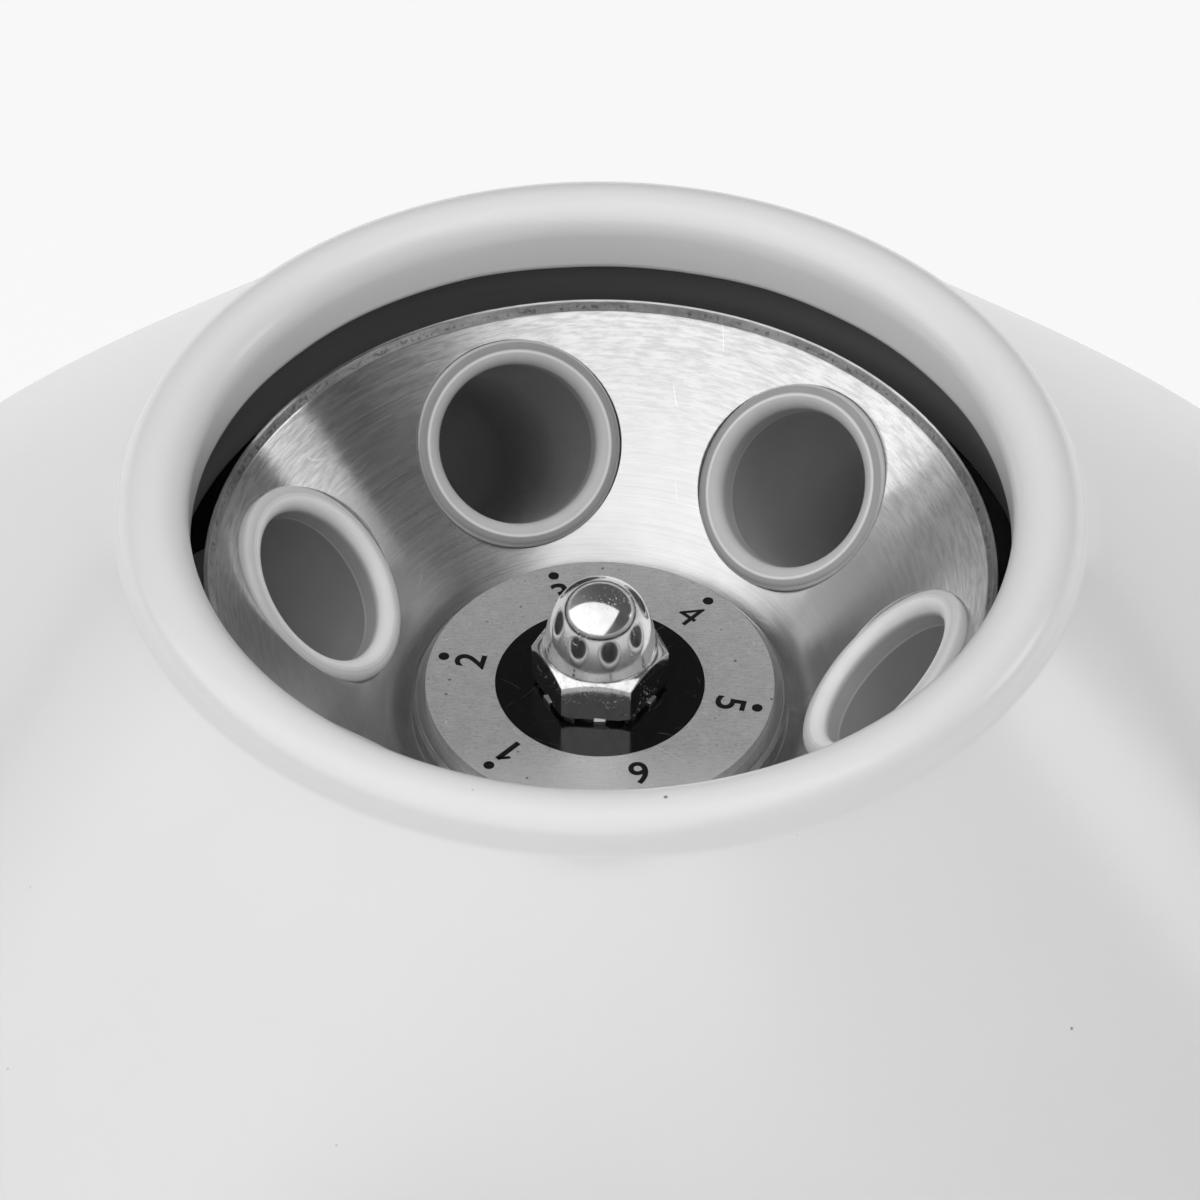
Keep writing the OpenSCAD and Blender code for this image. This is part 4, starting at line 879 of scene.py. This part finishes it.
def floor_material():
    """Pale floor that the camera, metal and glass see as nearly white, with the part's shadow on it."""
    s = Shader("floor_pale")
    tone = s.mix(s.remap(s.noise(2.2, 3), 0.3, 0.7), grey(0.88), grey(0.92))
    s.set(Base_Color=tone, Roughness=0.7, Normal=s.bump(s.noise(300, 2), 0.02, 0.1 * MM))
    seen = s.node("LightPath").outputs
    direct = s.math("MAXIMUM", seen["Is Camera Ray"],
                    s.math("MAXIMUM", seen["Is Glossy Ray"], seen["Is Transmission Ray"]))
    glow = s.node("Emission", {"Color": grey(1), "Strength": 1.0}).outputs[0]
    share = s.math("MULTIPLY", direct, 0.85)
    blend = s.node("MixShader", {0: share, 1: s.bsdf.outputs[0], 2: glow}).outputs[0]
    s.tree.links.new(blend, s.tree.nodes["Material Output"].inputs["Surface"])
    return s.material


FLOOR_HALF, FLOOR_DROP = 6, 0.3 * MM
corners = [(x * FLOOR_HALF, y * FLOOR_HALF, 0) for x, y in ((-1, -1), (1, -1), (1, 1), (-1, 1))]
mesh = bpy.data.meshes.new("floor")
mesh.from_pydata(corners, [], [(0, 1, 2, 3)])
floor = bpy.data.objects.new("floor", mesh)
scene.collection.objects.link(floor)
floor.location.z = -FLOOR_DROP
mesh.materials.append(floor_material())
floor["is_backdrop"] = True

WORLD_DARK, WORLD_LIGHT = 0.1, 0.36
WORLD_LEAN, LEAN_DARK, LEAN_LIGHT = (-0.8, -0.5, -0.5), -0.7, 0.8


def studio_world():
    """Dim grey room, lighter low down at the left and the front."""
    made = bpy.data.worlds.new("studio")
    made.use_nodes = True
    tree = made.node_tree
    place = tree.nodes.new("ShaderNodeTexCoord")
    lean = tree.nodes.new("ShaderNodeVectorMath")
    lean.operation = "DOT_PRODUCT"
    lean.inputs[1].default_value = WORLD_LEAN
    tone = tree.nodes.new("ShaderNodeMapRange")
    tone.interpolation_type = "SMOOTHSTEP"
    for key, value in (("From Min", LEAN_DARK), ("From Max", LEAN_LIGHT),
                       ("To Min", WORLD_DARK), ("To Max", WORLD_LIGHT)):
        tone.inputs[key].default_value = value
    tree.links.new(place.outputs["Generated"], lean.inputs[0])
    tree.links.new(lean.outputs["Value"], tone.inputs["Value"])
    tree.links.new(tone.outputs[0], tree.nodes["Background"].inputs["Strength"])
    tree.nodes["Background"].inputs["Color"].default_value = (1, 1, 1, 1)
    return made


scene.world = studio_world()
MOUTH_Z = 0.22


def around_part(azimuth, elevation, distance):
    """Place seen from the mouth: azimuth from the camera's side, positive to the right."""
    a, e = math.radians(azimuth), math.radians(elevation)
    return Vector((math.sin(a) * math.cos(e), -math.cos(a) * math.cos(e), math.sin(e))) * distance


def softbox(name, place, facing, along, width, height, power, mirrored=True):
    """Rectangular lamp at a place seen from the mouth; metal shows it only where it is mirrored."""
    light = bpy.data.lights.new(name, "AREA")
    light.shape = "RECTANGLE"
    light.size = width
    light.size_y = height
    light.energy = power
    lamp = bpy.data.objects.new(name, light)
    lamp.visible_glossy = mirrored
    scene.collection.objects.link(lamp)
    back = Vector(facing).normalized() * -1
    across = (Vector(along) - back * back.dot(Vector(along))).normalized()
    rise = back.cross(across)
    place = Vector(place) + Vector((0, 0, MOUTH_Z))
    lamp.matrix_world = placed(across, rise, back, place)


def toward_part(name, azimuth, elevation, distance, width, height, along, power, mirrored=False):
    """Rectangular lamp that faces the mouth."""
    place = around_part(azimuth, elevation, distance)
    softbox(name, place, -place, along, width, height, power, mirrored)


# One wide panel overhead, to the left and the front
PANEL_PLACE, PANEL_ALONG = (-1.31, -0.753, 1.0), (0.975, -0.22, 0)
PANEL_W, PANEL_H, PANEL_POWER = 3.9, 2.35, 27.5
# Smaller boxes round the part: azimuth, elevation, distance, width, height, direction of the width, power
# and, where metal shows the box, True
LIGHTS = [
    ("top_rear_box", 180, 62, 1.1, 0.9, 0.5, (1, 0, 0), 2.2),
    ("right_top_box", 90, 60, 1.1, 0.6, 0.5, (0, 1, 0), 2.0),
    ("right_front_box", 40, 6, 1.1, 0.8, 0.3, (0.77, 0.64, 0), 1.3),
    ("front_box", 0, 8, 1.1, 0.9, 0.3, (1, 0, 0), 0.25),
    ("right_box", 99, 17, 0.9, 0.26, 0.18, (0.28, 0.96, 0), 0.36, True),
    ("left_box", -99, 17, 0.9, 0.5, 0.2, (0.28, -0.96, 0), 0.16, True),
]
softbox("overhead_panel", PANEL_PLACE, (0, 0, -1), PANEL_ALONG, PANEL_W, PANEL_H, PANEL_POWER)
for light in LIGHTS:
    toward_part(*light)

low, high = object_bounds()
